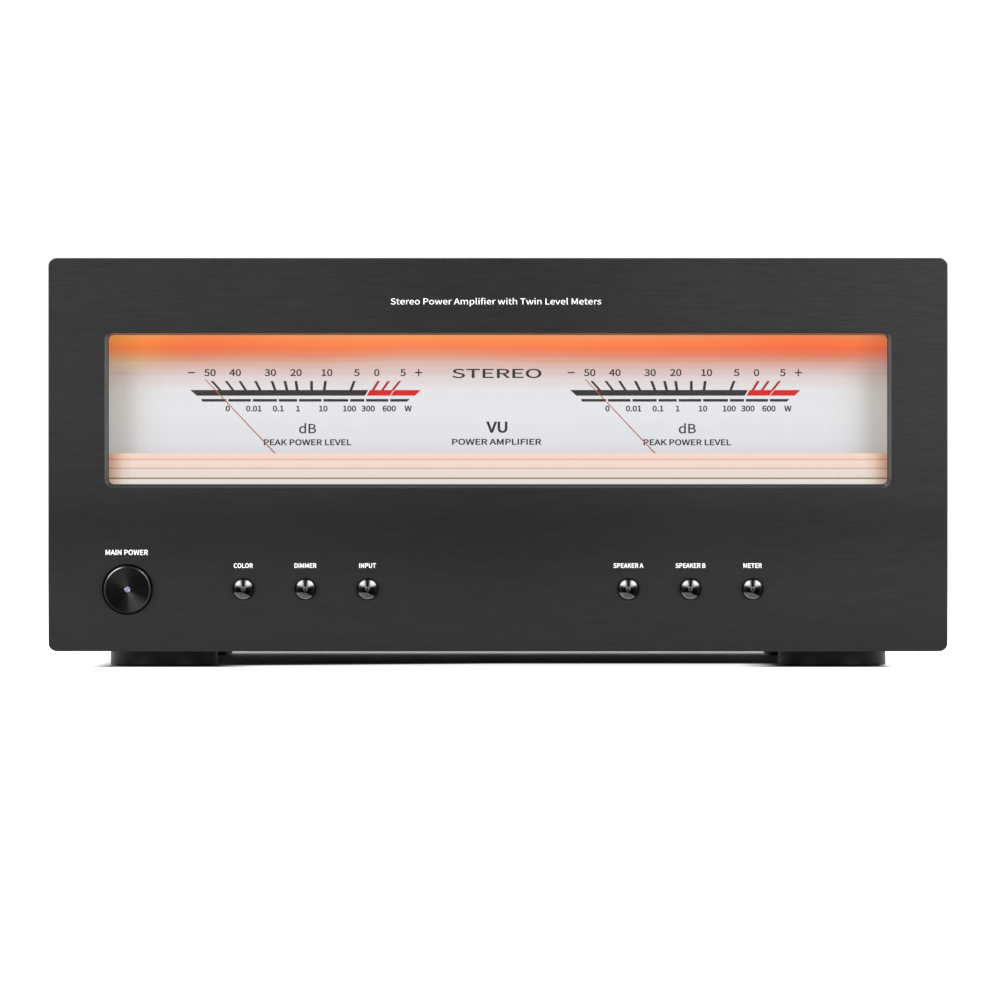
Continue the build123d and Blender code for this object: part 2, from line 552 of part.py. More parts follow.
# ---- Rear connectors ---------------------------------------------------------------------
def input_board():
    """Upright board just inside the rear panel that carries the signal sockets' wiring."""
    board = block(-118, 118, 372.4, 374, 136, 180)
    for x in (-40, -14, 14, 40):
        board += block(x - 8, x + 8, 358, 372.4, 150, 162)
    return board


def xlr_socket(x):
    """Female three-pin socket: a metal shell with a square flange, and the insert inside it."""
    d, z = CHASSIS_DEPTH, XLR_Z
    shell = plate_y(26, 31, 3.0, d, d + 2, x, z) + rod_y(x, z, 11.8, d - 20, d)
    shell -= rod_y(x, z, XLR_BORE_R, XLR_FLOOR, d + 3)
    contact_spots = [(x - 4.4, z), (x + 4.4, z), (x, z - 4.4)]
    keyway = block(x - 1.2, x + 1.2, XLR_FLOOR, d, z + XLR_INSERT_R - 1.6, z + XLR_INSERT_R + 1)
    holes = [rod_y(cx, cz, 1.3, XLR_FACE - 8, d) for cx, cz in contact_spots]
    insert = less(rod_y(x, z, XLR_INSERT_R, XLR_FLOOR, XLR_FACE), keyway, *holes)
    shell = fused(shell, *[rod_y(cx, cz, 0.8, d - 26, d - 20) for cx, cz in contact_spots])
    return [shell, insert]


def rca_socket(x):
    """Phono socket: a plated barrel with flange and nut, and an insert with the contact hole."""
    d, end, insert_r = CHASSIS_DEPTH, CHASSIS_DEPTH + RCA_OUT, 3.4
    tube = rod_y(x, RCA_Z, RCA_R, d - 12, end)
    tag = rod_y(x, RCA_Z, 1.0, d - 26, d - 12)
    flange = rod_y(x, RCA_Z, 6.8, d, d + 2.5)
    nut = prism_y(RegularPolygon(6.5, 6, major_radius=False), d - SHEET - 3, d - SHEET, x, RCA_Z)
    barrel = fused(tube, tag, flange, nut) - rod_y(x, RCA_Z, insert_r, end - 9.0, end + 1)
    insert = rod_y(x, RCA_Z, insert_r, end - 9.0, end - 1.2) - rod_y(x, RCA_Z, 1.65, end - 8.0, end)
    return [barrel, insert]


def mains_inlet():
    """Three-pin mains inlet and the frame of the mains switch in one moulding, and its blades."""
    d, socket_z = CHASSIS_DEPTH, INLET_Z - 12.0
    flange = plate_y(INLET_W, INLET_H, 2.0, d, d + 2.5, z=INLET_Z)
    body = flange + plate_y(INLET_W - 5, INLET_H - 5, 1.0, d - 24, d, z=INLET_Z)
    recess = chamfer(Rectangle(24.4, 16.4).vertices().group_by(Axis.Y)[-1], 4.0)
    body -= prism_y(recess, d - 16, d + 3, 0, socket_z)
    body -= block(-10.6, 10.6, d - 13, d + 3, ROCKER_Z - 8.2, ROCKER_Z + 8.2)
    body -= rod_x(ROCKER_DEPTH, ROCKER_Z, 1.5 + RUNNING_GAP, -12.5, 12.5)
    spots = ((-7, -2.0), (7, -2.0), (0, 2.0))
    blades = [block(x - 1, x + 1, d - 16, d - 5, socket_z + z - 2, socket_z + z + 2) for x, z in spots]
    return joined([body] + blades)


def mains_rocker():
    """Two-faced rocker on its own trunnions. At rest its upper half is pressed in (on)."""
    half, out = ROCKER_HALF, 5.6
    crest = out - half * tan(radians(ROCKER_TILT))
    corners = [(-3, -half), (out, -half), (crest, 0), (out, half), (-3, half), (-7, 2), (-7, -2)]
    outline = Polygon(*corners, align=None)
    profile = Plane(origin=(-10.2, 0, 0), x_dir=(0, 1, 0), z_dir=(1, 0, 0)) * outline
    rocker = extrude(profile, amount=20.4) + Rot(0, 90, 0) * Cylinder(1.5, 24.4)
    return Pos(0, at_depth(ROCKER_DEPTH), ROCKER_Z) * Rot(ROCKER_TILT, 0, 0) * rocker


def post_positions():
    """X of the eight speaker posts, from the left seen from the front."""
    right = [centre + s * POST_PITCH / 2 for centre in POST_PAIR_X for s in (-1, 1)]
    return [-x for x in reversed(right)] + right


def post_stem(x):
    """Threaded stem with a plug socket in its outer end, a wire hole, nut and solder tag."""
    d = CHASSIS_DEPTH
    stem = rod_y(x, POST_Z, POST_STEM_R, d - 12, d + POST_STEM_OUT)
    stem += block(x - 0.5, x + 0.5, d - 24, d - 11.5, POST_Z - 3, POST_Z + 3)
    nut = prism_y(RegularPolygon(6.5, 6, major_radius=False), d - 8.4, d - 5.4, x, POST_Z)
    socket = rod_y(x, POST_Z, BANANA_R, d + POST_STEM_OUT - BANANA_LENGTH, d + POST_STEM_OUT + 1)
    wire_hole = rod_z(x, d + 8.2, 1.7, POST_Z - 6, POST_Z + 6)
    return less(stem + nut, socket, wire_hole)


def post_insulator(x):
    """Shouldered bush outside the panel and a flat washer inside it."""
    d = CHASSIS_DEPTH
    bore = rod_y(x, POST_Z, POST_STEM_R, d - 10, d + 10)
    outside = rod_y(x, POST_Z, INSULATOR_R, d, d + INSULATOR_OUT) + rod_y(x, POST_Z, 5.0, REAR_IN, d)
    inside = rod_y(x, POST_Z, INSULATOR_R, REAR_IN - 3.4, REAR_IN)
    return [outside - bore, inside - bore]


def clamp_washer(x):
    d0 = CHASSIS_DEPTH + INSULATOR_OUT
    ring = rod_y(x, POST_Z, 6.8, d0, d0 + CLAMP_WASHER_T)
    return ring - rod_y(x, POST_Z, POST_STEM_R + RUNNING_GAP, d0 - 1, d0 + CLAMP_WASHER_T + 1)


def post_knob(x):
    """Fluted clamping knob with an opening at its end for a plug."""
    d0 = CHASSIS_DEPTH + INSULATOR_OUT + CLAMP_WASHER_T
    knob = rod_y(x, POST_Z, KNOB_R, d0, d0 + KNOB_LENGTH)
    knob = fillet(knob.edges().sort_by(Axis.Y)[-1], 1.2)
    bore = rod_y(x, POST_Z, POST_STEM_R + RUNNING_GAP, d0 - 1, CHASSIS_DEPTH + POST_STEM_OUT + 0.4)
    mouth = rod_y(x, POST_Z, 2.8, d0, d0 + KNOB_LENGTH + 1)
    flutes = []
    for angle in range(0, 360, 30):
        fx, fz = x + 8.0 * cos(radians(angle)), POST_Z + 8.0 * sin(radians(angle))
        flutes.append(rod_y(fx, fz, 1.1, d0 + 3, d0 + KNOB_LENGTH + 1))
    return less(knob, bore, mouth, *flutes)


# ---- Wiring ------------------------------------------------------------------------------
def cable(r, *points):
    """A round cable along a smooth curve through points of (x, depth, z)."""
    path = Spline(*[(x, at_depth(d), z) for x, d, z in points])
    return sweep(Plane(origin=path @ 0, z_dir=path % 0) * Circle(r), path=path)


def wiring():
    """Mains leads, transformer leads, supply leads and speaker leads, clear of other parts."""
    mains = []
    for x in (-5, 5):
        route = [(x, 373, 50), (x * 1.6, 350, 100), (x * 2.6, 260, 118), (x * 7, 150, 92)]
        mains.append(cable(1.6, *route))
    supply = [cable(1.8, (86, 330, 45), (96, 332, 80), (112, 300, 100), (112, 260, 108)),
              cable(1.8, (100, 205, 50), (112, 212, 70), (110, 236, 100), (105, 250, 112))]
    speaker = [cable(2.0, (105, 362, 60), (108, 369, 66), (112, 374, 74))]
    ribbon = block(-16, 16, 35.2, 36.2, POWER_Z - 3, POWER_Z + 3)
    ribbon += block(-16, 16, 36.2, 78, POWER_Z - 3, POWER_Z - 2)
    sides = [s for one in supply + speaker for s in both_sides(one)]
    return joined(mains + sides + [ribbon])


# ---- Build -------------------------------------------------------------------------------
def all_parts():
    right_sink, right_transformer = heatsink(), transformer()
    parts = {
        "front_panel": front_panel(),
        "window_glass": window_glass(),
        "window_gasket": window_gasket(),
        "front_subpanel": front_subpanel(),
        "meter_housing": meter_housing(),
        "dial_plate": dial_plate(),
        "dial_step_trim": dial_step_trim(),
        "dial_light_board": dial_light_board(),
        "meter_movements": joined([meter_movement(x) for x in METER_X]),
        "needle_left": needle(METER_X[0]),
        "needle_right": needle(METER_X[1]),
        "power_button": power_button(),
        "button_board": button_board(),
        "button_switches": button_switches(),
        "bottom_plate": bottom_plate(),
        "rear_panel": rear_panel(),
        "top_cover": top_cover(),
        "feet": at_feet(foot),
        "foot_pads": at_feet(foot_pad),
        "machine_screws": machine_screws(),
        "heatsink_left": mirror(right_sink, about=Plane.YZ),
        "heatsink_right": right_sink,
        "output_transistors": output_transistors(),
        "amplifier_boards": amplifier_boards(),
        "transformer_left": mirror(right_transformer, about=Plane.YZ),
        "transformer_right": right_transformer,
        "transformer_clamps": transformer_clamps(),
        "power_supply_board": power_supply_board(),
        "filter_capacitors": filter_capacitors(),
        "bridge_rectifiers": bridge_rectifiers(),
        "input_board": input_board(),
        "xlr_sockets": joined([s for x in (-XLR_X, XLR_X) for s in xlr_socket(x)]),
        "rca_sockets": joined([s for x in (-RCA_X, RCA_X) for s in rca_socket(x)]),
        "mains_inlet": mains_inlet(),
        "mains_rocker": mains_rocker(),
        "post_stems": joined([post_stem(x) for x in post_positions()]),
        "post_insulators": joined([s for x in post_positions() for s in post_insulator(x)]),
        "wiring": wiring(),
    }
    for name, x in zip(BUTTON_NAMES, BUTTON_X):
        parts[f"button_{name}"] = push_button(x, BUTTON_Z, BUTTON_R, BUTTON_PROUD, BUTTON_TRAVEL)
    for i, x in enumerate(post_positions(), start=1):
        parts[f"clamp_washer_{i}"] = clamp_washer(x)
        parts[f"post_knob_{i}"] = post_knob(x)
    return parts


os.makedirs("parts", exist_ok=True)
for node, shape in all_parts().items():
    export_step(shape, f"parts/{node}.step")
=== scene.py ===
import bmesh
import bpy
import json
import math
import os
from mathutils import Matrix, Vector


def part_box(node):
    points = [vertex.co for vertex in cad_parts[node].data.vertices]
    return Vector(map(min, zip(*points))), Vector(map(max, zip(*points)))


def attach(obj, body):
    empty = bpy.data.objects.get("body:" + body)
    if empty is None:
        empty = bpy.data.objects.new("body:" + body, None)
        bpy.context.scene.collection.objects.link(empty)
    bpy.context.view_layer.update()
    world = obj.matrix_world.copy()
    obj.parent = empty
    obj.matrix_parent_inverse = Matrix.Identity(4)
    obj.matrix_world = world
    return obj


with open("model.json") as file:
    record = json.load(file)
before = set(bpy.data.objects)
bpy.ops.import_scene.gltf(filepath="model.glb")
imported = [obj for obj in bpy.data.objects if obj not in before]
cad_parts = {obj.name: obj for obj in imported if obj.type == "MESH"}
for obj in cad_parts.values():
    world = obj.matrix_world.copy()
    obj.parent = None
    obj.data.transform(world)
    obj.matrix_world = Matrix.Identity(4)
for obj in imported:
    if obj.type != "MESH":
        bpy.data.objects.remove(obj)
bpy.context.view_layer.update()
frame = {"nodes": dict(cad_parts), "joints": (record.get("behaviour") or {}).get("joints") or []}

# The looks of a stereo power amplifier, around its CAD frame. Metres, +X right, +Y rear, +Z up.
MM = 0.001
NODES = frame["nodes"]
JOINTS = {joint["name"]: joint for joint in frame["joints"]}

# ---- Places taken from the frame ---------------------------------------------------------
PANEL_LOW, PANEL_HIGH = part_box("front_panel")
PANEL_FRONT = PANEL_LOW.y
MID_Z = (PANEL_LOW.z + PANEL_HIGH.z) / 2
REAR_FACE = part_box("rear_panel")[1].y
DIAL_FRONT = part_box("dial_plate")[0].y
GLASS_LOW, GLASS_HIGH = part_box("window_glass")
PIVOTS = {side: Vector(JOINTS[f"needle_{side}_swing"]["pos_m"]) for side in ("left", "right")}
SMALL_BUTTONS = ("colour", "dimmer", "input", "speaker_a", "speaker_b", "meter")


def centre(node):
    low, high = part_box(node)
    return (low + high) / 2


# ---- Shader helpers ----------------------------------------------------------------------
def srgb(red, green, blue):
    """Screen colour, 0 to 255 per channel, as the linear colour that nodes take."""
    def linear(value):
        value /= 255
        return value / 12.92 if value <= 0.04045 else ((value + 0.055) / 1.055) ** 2.4
    return (linear(red), linear(green), linear(blue), 1.0)


class Shader:
    """A node material being put together. Textures use the object's own metres, so they move with it."""

    def __init__(self, name):
        self.material = bpy.data.materials.new(name)
        self.material.use_nodes = True
        self.tree = self.material.node_tree
        self.tree.nodes.clear()
        self.place = self.add("TexCoord").outputs["Object"]

    def add(self, kind, settings=None, **inputs):
        node = self.tree.nodes.new("ShaderNode" + kind)
        for key, value in (settings or {}).items():
            setattr(node, key, value)
        for key, value in inputs.items():
            self.feed(node.inputs[key.replace("_", " ")], value)
        return node

    def feed(self, socket, value):
        if isinstance(value, bpy.types.NodeSocket):
            self.tree.links.new(value, socket)
        else:
            socket.default_value = value

    def math(self, operation, first, second=0.0, third=0.0):
        node = self.add("Math", {"operation": operation})
        for socket, value in zip(node.inputs, (first, second, third)):
            self.feed(socket, value)
        return node.outputs[0]

    def axes(self, vector=None):
        """The three components of a vector, by default of the place."""
        return self.add("SeparateXYZ", Vector=vector or self.place).outputs

    def moved(self, offset=(0, 0, 0), scale=(1, 1, 1)):
        """The place, shifted and then stretched."""
        shifted = self.add("VectorMath", {"operation": "ADD"})
        self.feed(shifted.inputs[0], self.place)
        shifted.inputs[1].default_value = offset
        stretched = self.add("VectorMath", {"operation": "MULTIPLY"})
        self.feed(stretched.inputs[0], shifted.outputs[0])
        stretched.inputs[1].default_value = scale
        return stretched.outputs[0]

    def noise(self, scale=1.0, stretch=(1, 1, 1), detail=2.0, roughness=0.5):
        """Noise from 0 to 1 whose features are about 1 / (scale x stretch) metres."""
        vector = self.moved(scale=stretch)
        texture = self.add("TexNoise", Vector=vector, Scale=scale, Detail=detail, Roughness=roughness)
        return texture.outputs["Fac"]

    def ramp(self, factor, stops, interpolation="LINEAR"):
        """A colour ramp. A stop is (position, colour)."""
        node = self.add("ValToRGB", Fac=factor)
        node.color_ramp.interpolation = interpolation
        elements = node.color_ramp.elements
        while len(elements) < len(stops):
            elements.new(1.0)
        for element, (position, colour) in zip(elements, stops):
            element.position = position
            element.color = colour
        return node.outputs["Color"]

    def spread(self, value, low, high, to_low=0.0, to_high=1.0):
        """Maps low..high onto to_low..to_high, without leaving that range."""
        node = self.add("MapRange", {"clamp": True})
        for socket, number in zip(node.inputs, (value, low, high, to_low, to_high)):
            self.feed(socket, number)
        return node.outputs[0]

    def mix(self, factor, first, second, blend="MIX"):
        node = self.add("Mix", {"data_type": "RGBA", "blend_type": blend})
        for socket, value in zip((node.inputs[0], node.inputs[6], node.inputs[7]), (factor, first, second)):
            self.feed(socket, value)
        return node.outputs[2]

    def bump(self, height, distance, strength=1.0):
        return self.add("Bump", Height=height, Distance=distance, Strength=strength).outputs["Normal"]

    def surface(self, **inputs):
        """A Principled surface as the material's result."""
        return self.result(self.add("BsdfPrincipled", **inputs).outputs[0])

    def result(self, shader):
        output = self.add("OutputMaterial")
        self.tree.links.new(shader, output.inputs["Surface"])
        return self.material


def grey(level):
    return (level, level, level, 1.0)


# ---- Materials: front --------------------------------------------------------------------
def brushed_fascia():
    """Dark anodised aluminium with a fine horizontal grain and a painted sheen.

    Round its window, the bevel has a painted highlight where it faces up or sideways, and painted shade
    and painted lamp glow where it faces down; inside the opening, painted shade.
    """
    s = Shader("fascia_brushed_painted_light")
    x, y, z = s.axes()
    coarse = s.noise(stretch=(55, 60, 1500), detail=3.0, roughness=0.6)
    fine = s.noise(stretch=(160, 200, 5200), detail=2.0)
    grain = s.math("ADD", s.math("MULTIPLY", coarse, 0.6), s.math("MULTIPLY", fine, 0.4))
    colour = s.ramp(grain, [(0.25, grey(0.013)), (0.5, grey(0.018)), (0.75, grey(0.024))])
    # Painted sheen: the panel is lighter or darker by height and across, as the light falls on it.
    height = s.spread(z, PANEL_LOW.z, PANEL_HIGH.z)
    up = s.ramp(height, [(0.0, grey(0.84)), (0.13, grey(0.84)), (0.33, grey(0.62)), (0.42, grey(0.82)),
                         (0.64, grey(0.98)), (1.0, grey(1.08))], "EASE")
    across = s.ramp(s.spread(x, PANEL_LOW.x, PANEL_HIGH.x),
                    [(0.0, grey(0.97)), (0.22, grey(0.92)), (0.5, grey(0.76)), (0.78, grey(1.04)),
                     (1.0, grey(1.22))], "EASE")
    across = s.mix(s.spread(height, 0.25, 0.05), across, grey(0.94))
    colour = s.mix(1.0, colour, s.mix(1.0, up, across, "MULTIPLY"), "MULTIPLY")
    normal_x, _, normal_z = s.axes(s.add("NewGeometry").outputs["Normal"])
    depth = s.math("SUBTRACT", y, PANEL_FRONT)
    in_window = s.math("LESS_THAN", s.math("ABSOLUTE", x), GLASS_HIGH.x)
    in_window = s.math("MULTIPLY", in_window, s.math("LESS_THAN", z, GLASS_HIGH.z))
    in_window = s.math("MULTIPLY", in_window, s.math("GREATER_THAN", z, GLASS_LOW.z))
    # Painted highlight on the window's bevel where it faces up or sideways.
    lit = s.math("MAXIMUM", s.math("ABSOLUTE", normal_x), normal_z)
    lit = s.math("MULTIPLY", s.spread(lit, 0.45, 0.6), in_window)
    colour = s.mix(lit, colour, grey(0.058))
    # Painted shade on the bevel's downward face near the front, and painted lamp glow on it further in.
    shaded = s.math("MULTIPLY", s.spread(normal_z, -0.45, -0.6), in_window)
    lamp_light = s.ramp(s.spread(depth, 1.1 * MM, 1.5 * MM), [(0, grey(0.02)), (1, (0.30, 0.12, 0.06, 1))])
    colour = s.mix(shaded, colour, lamp_light)
    # Painted shade inside the window's opening, behind the bevel: near black.
    opening_shade = s.math("MULTIPLY", s.spread(depth, 1.55 * MM, 1.65 * MM), in_window)
    colour = s.mix(opening_shade, colour, grey(0.004))
    rough = s.spread(grain, 0.3, 0.7, 0.36, 0.50)
    return s.surface(Base_Color=colour, Metallic=0.85, Roughness=rough, Anisotropic=0.55,
                     Normal=s.bump(grain, 0.00002, 0.35))


def window_glass():
    """Clear coated glass: mostly see-through, with a faint reflection that grows at a slant."""
    s = Shader("window_glass_clear")
    smudge = s.noise(scale=35.0, detail=3.0)
    facing = s.add("Fresnel", IOR=1.22).outputs[0]
    rough = s.spread(smudge, 0.4, 0.75, 0.01, 0.05)
    gloss = s.add("BsdfAnisotropic", Color=grey(0.9), Roughness=rough).outputs[0]
    clear = s.add("BsdfTransparent", Color=(0.985, 0.99, 0.99, 1)).outputs[0]
    blend = s.add("MixShader", Fac=facing)
    s.tree.links.new(clear, blend.inputs[1])
    s.tree.links.new(gloss, blend.inputs[2])
    return s.result(blend.outputs[0])


# Colours of the dial's glow from the foot of the plate to its top, by height above MID_Z in mm.
DIAL_GLOW = [(0, (217, 217, 221)), (8, (225, 225, 230)), (22, (230, 230, 234)), (31, (229, 227, 230)),
             (37, (225, 214, 213)), (41, (219, 193, 189)), (44.5, (216, 173, 165)), (47, (218, 149, 128)),
             (49.5, (228, 124, 93)), (52.5, (242, 112, 60)), (55.5, (252, 120, 54)), (58.6, (236, 136, 80))]
# How much dimmer the glow gets towards a side of the window, by distance from it in mm.
SIDE_SHADE = [(0, (0.60, 0.56, 0.51)), (6, (0.67, 0.63, 0.57)), (10, (0.78, 0.75, 0.70)),
              (14, (0.89, 0.87, 0.84)), (20, (0.97, 0.96, 0.94)), (29, (1, 1, 1))]
# The same near the lamps, at the dial's top.
TOP_SHADE = [(0, (0.76, 0.80, 0.82)), (8, (0.90, 0.96, 0.96)), (16, (1.0, 1.1, 1.0)), (29, (1, 1, 1))]
# Warmth of the lamps' row by x in mm: a little paler in the middle.
TOP_TINT = [(-190, (0.98, 1.25, 0.8)), (-147, (1.0, 0.93, 0.76)), (-49, (1.04, 1.27, 1.28)),
            (48, (1.03, 1.12, 1.1)), (107, (1.02, 1.0, 0.95)), (146, (1.02, 0.83, 0.68)),
            (190, (1.0, 0.85, 0.9))]


def side_shade(s, stops):
    """Shade by distance from the nearer side of the window."""
    reach = stops[-1][0]
    half = (GLASS_HIGH.x - GLASS_LOW.x) / 2 - 4.2 * MM
    inset = s.math("SUBTRACT", half, s.math("ABSOLUTE", s.axes()[0]))
    position = s.spread(inset, 0.0, reach * MM)
    return s.ramp(position, [(mm / reach, (*colour, 1.0)) for mm, colour in stops])


def lit_plastic(s, glow, strength, body):
    """Plastic that is lit from its edge: mostly its own glow, with a little surface shading."""
    skin = s.add("BsdfPrincipled", Base_Color=body, Roughness=0.55, Specular_IOR_Level=0.15).outputs[0]
    light = s.add("Emission", Color=glow, Strength=strength).outputs[0]
    total = s.add("AddShader")
    s.tree.links.new(skin, total.inputs[0])
    s.tree.links.new(light, total.inputs[1])
    return s.result(total.outputs[0])


def dial_face():
    s = Shader("dial_backlit")
    low, high = DIAL_GLOW[0][0], DIAL_GLOW[-1][0]
    wave = s.math("MULTIPLY", s.math("SUBTRACT", s.noise(scale=14.0, detail=1.0), 0.5), 2.6 * MM)
    height = s.math("ADD", s.axes()[2], wave)
    position = s.spread(height, MID_Z + low * MM, MID_Z + high * MM)
    glow = s.ramp(position, [((mm - low) / (high - low), srgb(*colour)) for mm, colour in DIAL_GLOW], "EASE")
    near_lamps = s.spread(height, MID_Z + 40 * MM, MID_Z + 49 * MM)
    span = TOP_TINT[-1][0] - TOP_TINT[0][0]
    tint = s.ramp(s.spread(s.axes()[0], TOP_TINT[0][0] * MM, TOP_TINT[-1][0] * MM),
                  [((mm - TOP_TINT[0][0]) / span, (*colour, 1.0)) for mm, colour in TOP_TINT])
    lamps = s.mix(1.0, side_shade(s, TOP_SHADE), tint, "MULTIPLY")
    glow = s.mix(1.0, glow, s.mix(near_lamps, side_shade(s, SIDE_SHADE), lamps), "MULTIPLY")
    paper = s.spread(s.noise(scale=900.0, detail=2.0), 0.3, 0.7, 0.985, 1.0)
    return lit_plastic(s, glow, paper, grey(0.02))


# Ledge colours by height above MID_Z in mm.
LEDGE_GLOW = [(-14.5, (228, 223, 215)), (-11.9, (236, 229, 219)), (-11.0, (235, 218, 206)),
              (-7.2, (238, 223, 212)), (-6.3, (243, 217, 203)), (-3.1, (247, 222, 208)),
              (-2.0, (250, 212, 193)), (0.8, (250, 219, 201))]
LEDGE_SHADE = [(0, (0.56, 0.40, 0.33)), (2.5, (0.70, 0.56, 0.48)), (6, (0.90, 0.84, 0.80)), (11, (1, 1, 1))]
# Painted shade in the grooves at the risers' feet: lower edge in mm above MID_Z, and how dark the shade is.
LEDGE_GROOVE_SHADE = ((-11.9, 0.85), (-7.05, 0.35), (-2.7, 0.30))
GROOVE_H = 0.62


def ledge_plastic():
    s = Shader("ledge_backlit")
    low, high = LEDGE_GLOW[0][0], LEDGE_GLOW[-1][0]
    height = s.axes()[2]
    position = s.spread(height, MID_Z + low * MM, MID_Z + high * MM)
    glow = s.ramp(position, [((mm - low) / (high - low), srgb(*colour)) for mm, colour in LEDGE_GLOW])
    # Painted shade along each groove, fading out just beyond its edges.
    for groove, shade_strength in LEDGE_GROOVE_SHADE:
        gap = s.math("ABSOLUTE", s.math("SUBTRACT", height, MID_Z + (groove + GROOVE_H / 2) * MM))
        dark = s.spread(gap, GROOVE_H / 2 * MM, (GROOVE_H / 2 + 0.12) * MM, shade_strength, 0.0)
        glow = s.mix(dark, glow, srgb(120, 104, 92))
    glow = s.mix(1.0, glow, side_shade(s, LEDGE_SHADE), "MULTIPLY")
    return lit_plastic(s, glow, s.spread(s.noise(scale=700.0), 0.3, 0.7, 0.97, 1.0), grey(0.02))


def light_box_plastic():
    """White moulding that glows orange near the lamps above and cream lower down."""
    s = Shader("light_box_white")
    position = s.spread(s.axes()[2], MID_Z - 5 * MM, MID_Z + 62 * MM)
    glow = s.ramp(position, [(0.0, srgb(150, 140, 132)), (0.6, srgb(170, 150, 138)),
                             (1.0, srgb(235, 125, 60))])
    return lit_plastic(s, glow, 0.55, (0.6, 0.56, 0.52, 1))


def glow_paint(name, colour, strength, body):
    """Printed or painted mark that stands in the light box's glow."""
    s = Shader(name)
    tone = s.spread(s.noise(scale=1500.0), 0.3, 0.7, 0.9 * strength, 1.05 * strength)
    return lit_plastic(s, colour, tone, body)


def two_tone_red(height):
    """Red ink that is darker above a height."""
    s = Shader("dial_ink_red")
    tone = s.spread(s.noise(scale=1500.0), 0.3, 0.7, 0.92, 1.03)
    upper = s.spread(s.axes()[2], height - 0.2 * MM, height + 0.2 * MM)
    return lit_plastic(s, s.mix(upper, srgb(220, 2, 2), srgb(176, 14, 14)), tone, grey(0.01))


def silk_print(name, colour):
    """Screen-printed ink on metal, slightly uneven."""
    s = Shader(name)
    tone = s.spread(s.noise(scale=2500.0, detail=3.0), 0.3, 0.7, 0.86, 1.0)
    ink = s.mix(1.0, colour, s.add("CombineColor", Red=tone, Green=tone, Blue=tone).outputs[0], "MULTIPLY")
    return s.surface(Base_Color=ink, Roughness=0.6, Normal=s.bump(s.noise(scale=3000.0), 0.00001, 0.3))


RINGS_PER_METRE = 9000.0     # turning marks on a cap's face


def spun_metal(name, node, cap_radius, looks, metallic, rough):
    """A turned cap's face, with painted highlights and a painted reflection of the floor in its colour. Angles
    are in degrees from 12 o'clock, clockwise.

    looks holds ramps of grey: fan, the painted highlights by angle; fade, their strength by share of the
    radius;
    floor, the floor's painted reflection by height from the cap's foot, slanted to the right by lean; boss,
    the centre, by share of the radius; and rim, the ring between the shares rim_from and rim_to, by angle,
    which holds the power button's painted highlight arcs.
    """
    s = Shader(name)
    middle = centre(node)
    x, _, z = s.axes(s.moved(offset=(-middle.x, 0, -middle.z)))
    angle = s.math("WRAP", s.math("DIVIDE", s.math("ARCTAN2", x, z), math.tau), 1.0, 0.0)
    radius = s.math("SQRT", s.math("ADD", s.math("MULTIPLY", x, x), s.math("MULTIPLY", z, z)))
    share = s.math("DIVIDE", radius, cap_radius)
    across = s.math("MULTIPLY", radius, RINGS_PER_METRE)
    rings = s.add("TexNoise", {"noise_dimensions": "1D"}, W=across, Scale=1.0).outputs["Fac"]

    def by_angle(stops):
        return s.ramp(angle, [(degrees / 360, grey(level)) for degrees, level in stops], "B_SPLINE")

    def by_share(factor, stops):
        return s.ramp(factor, [(place, grey(level)) for place, level in stops])

    # Painted highlights by angle.
    face = s.mix(1.0, by_angle(looks["fan"]), by_share(share, looks["fade"]), "MULTIPLY")
    # Painted reflection of the floor in the lower part of the face.
    tilted = s.math("ADD", z, s.math("MULTIPLY", s.math("MAXIMUM", x, 0.0), looks["lean"]))
    below = s.math("ADD", s.math("MULTIPLY", s.math("DIVIDE", tilted, cap_radius), 0.5), 0.5)
    face = s.mix(1.0, face, by_share(below, looks["floor"]), "ADD")
    face = s.mix(1.0, face, by_share(share, looks["boss"]), "ADD")
    colour = s.mix(1.0, face, s.ramp(rings, [(0.3, grey(0.86)), (0.7, grey(1.0))]), "MULTIPLY")
    # The ring by angle: on the power button, painted highlight arcs.
    colour = s.mix(s.math("GREATER_THAN", share, looks["rim_from"]), colour, by_angle(looks["rim"]))
    colour = s.mix(s.math("GREATER_THAN", share, looks["rim_to"]), colour, grey(0.006))
    tangent = s.add("Tangent", {"direction_type": "RADIAL", "axis": "Y"}).outputs[0]
    return s.surface(Base_Color=colour, Metallic=metallic, Roughness=rough, Anisotropic=0.75, Tangent=tangent,
                     Normal=s.bump(rings, 0.00001, 0.25))


# ---- Materials: cabinet ------------------------------------------------------------------
def powder_coat(name, colour, speckle=1400.0):
    """Fine-textured black powder coat on sheet steel, lighter along its convex edges."""
    s = Shader(name)
    texture = s.noise(scale=speckle, detail=2.0)
    cloud = s.noise(scale=9.0, detail=2.0)
    tone = s.mix(s.spread(cloud, 0.35, 0.65, 0.0, 0.4), grey(colour), grey(colour * 1.5))
    edge = s.spread(s.add("NewGeometry").outputs["Pointiness"], 0.52, 0.6, 0.0, 0.35)
    tone = s.mix(edge, tone, grey(colour * 3.2))
    rough = s.spread(texture, 0.3, 0.7, 0.46, 0.62)
    return s.surface(Base_Color=tone, Roughness=rough, Specular_IOR_Level=0.3,
                     Normal=s.bump(texture, 0.00006, 0.55))


def sheet_steel(name, colour, stretch=(60, 60, 900)):
    """Zinc-plated or bare sheet with rolling marks."""
    s = Shader(name)
    marks = s.noise(stretch=stretch, detail=3.0)
    bloom = s.noise(scale=40.0, detail=3.0)
    tone = s.mix(s.spread(bloom, 0.3, 0.7), colour, tuple(c * 0.72 for c in colour[:3]) + (1.0,))
    return s.surface(Base_Color=tone, Metallic=1.0, Roughness=s.spread(marks, 0.3, 0.7, 0.26, 0.42),
                     Normal=s.bump(marks, 0.00002, 0.4))


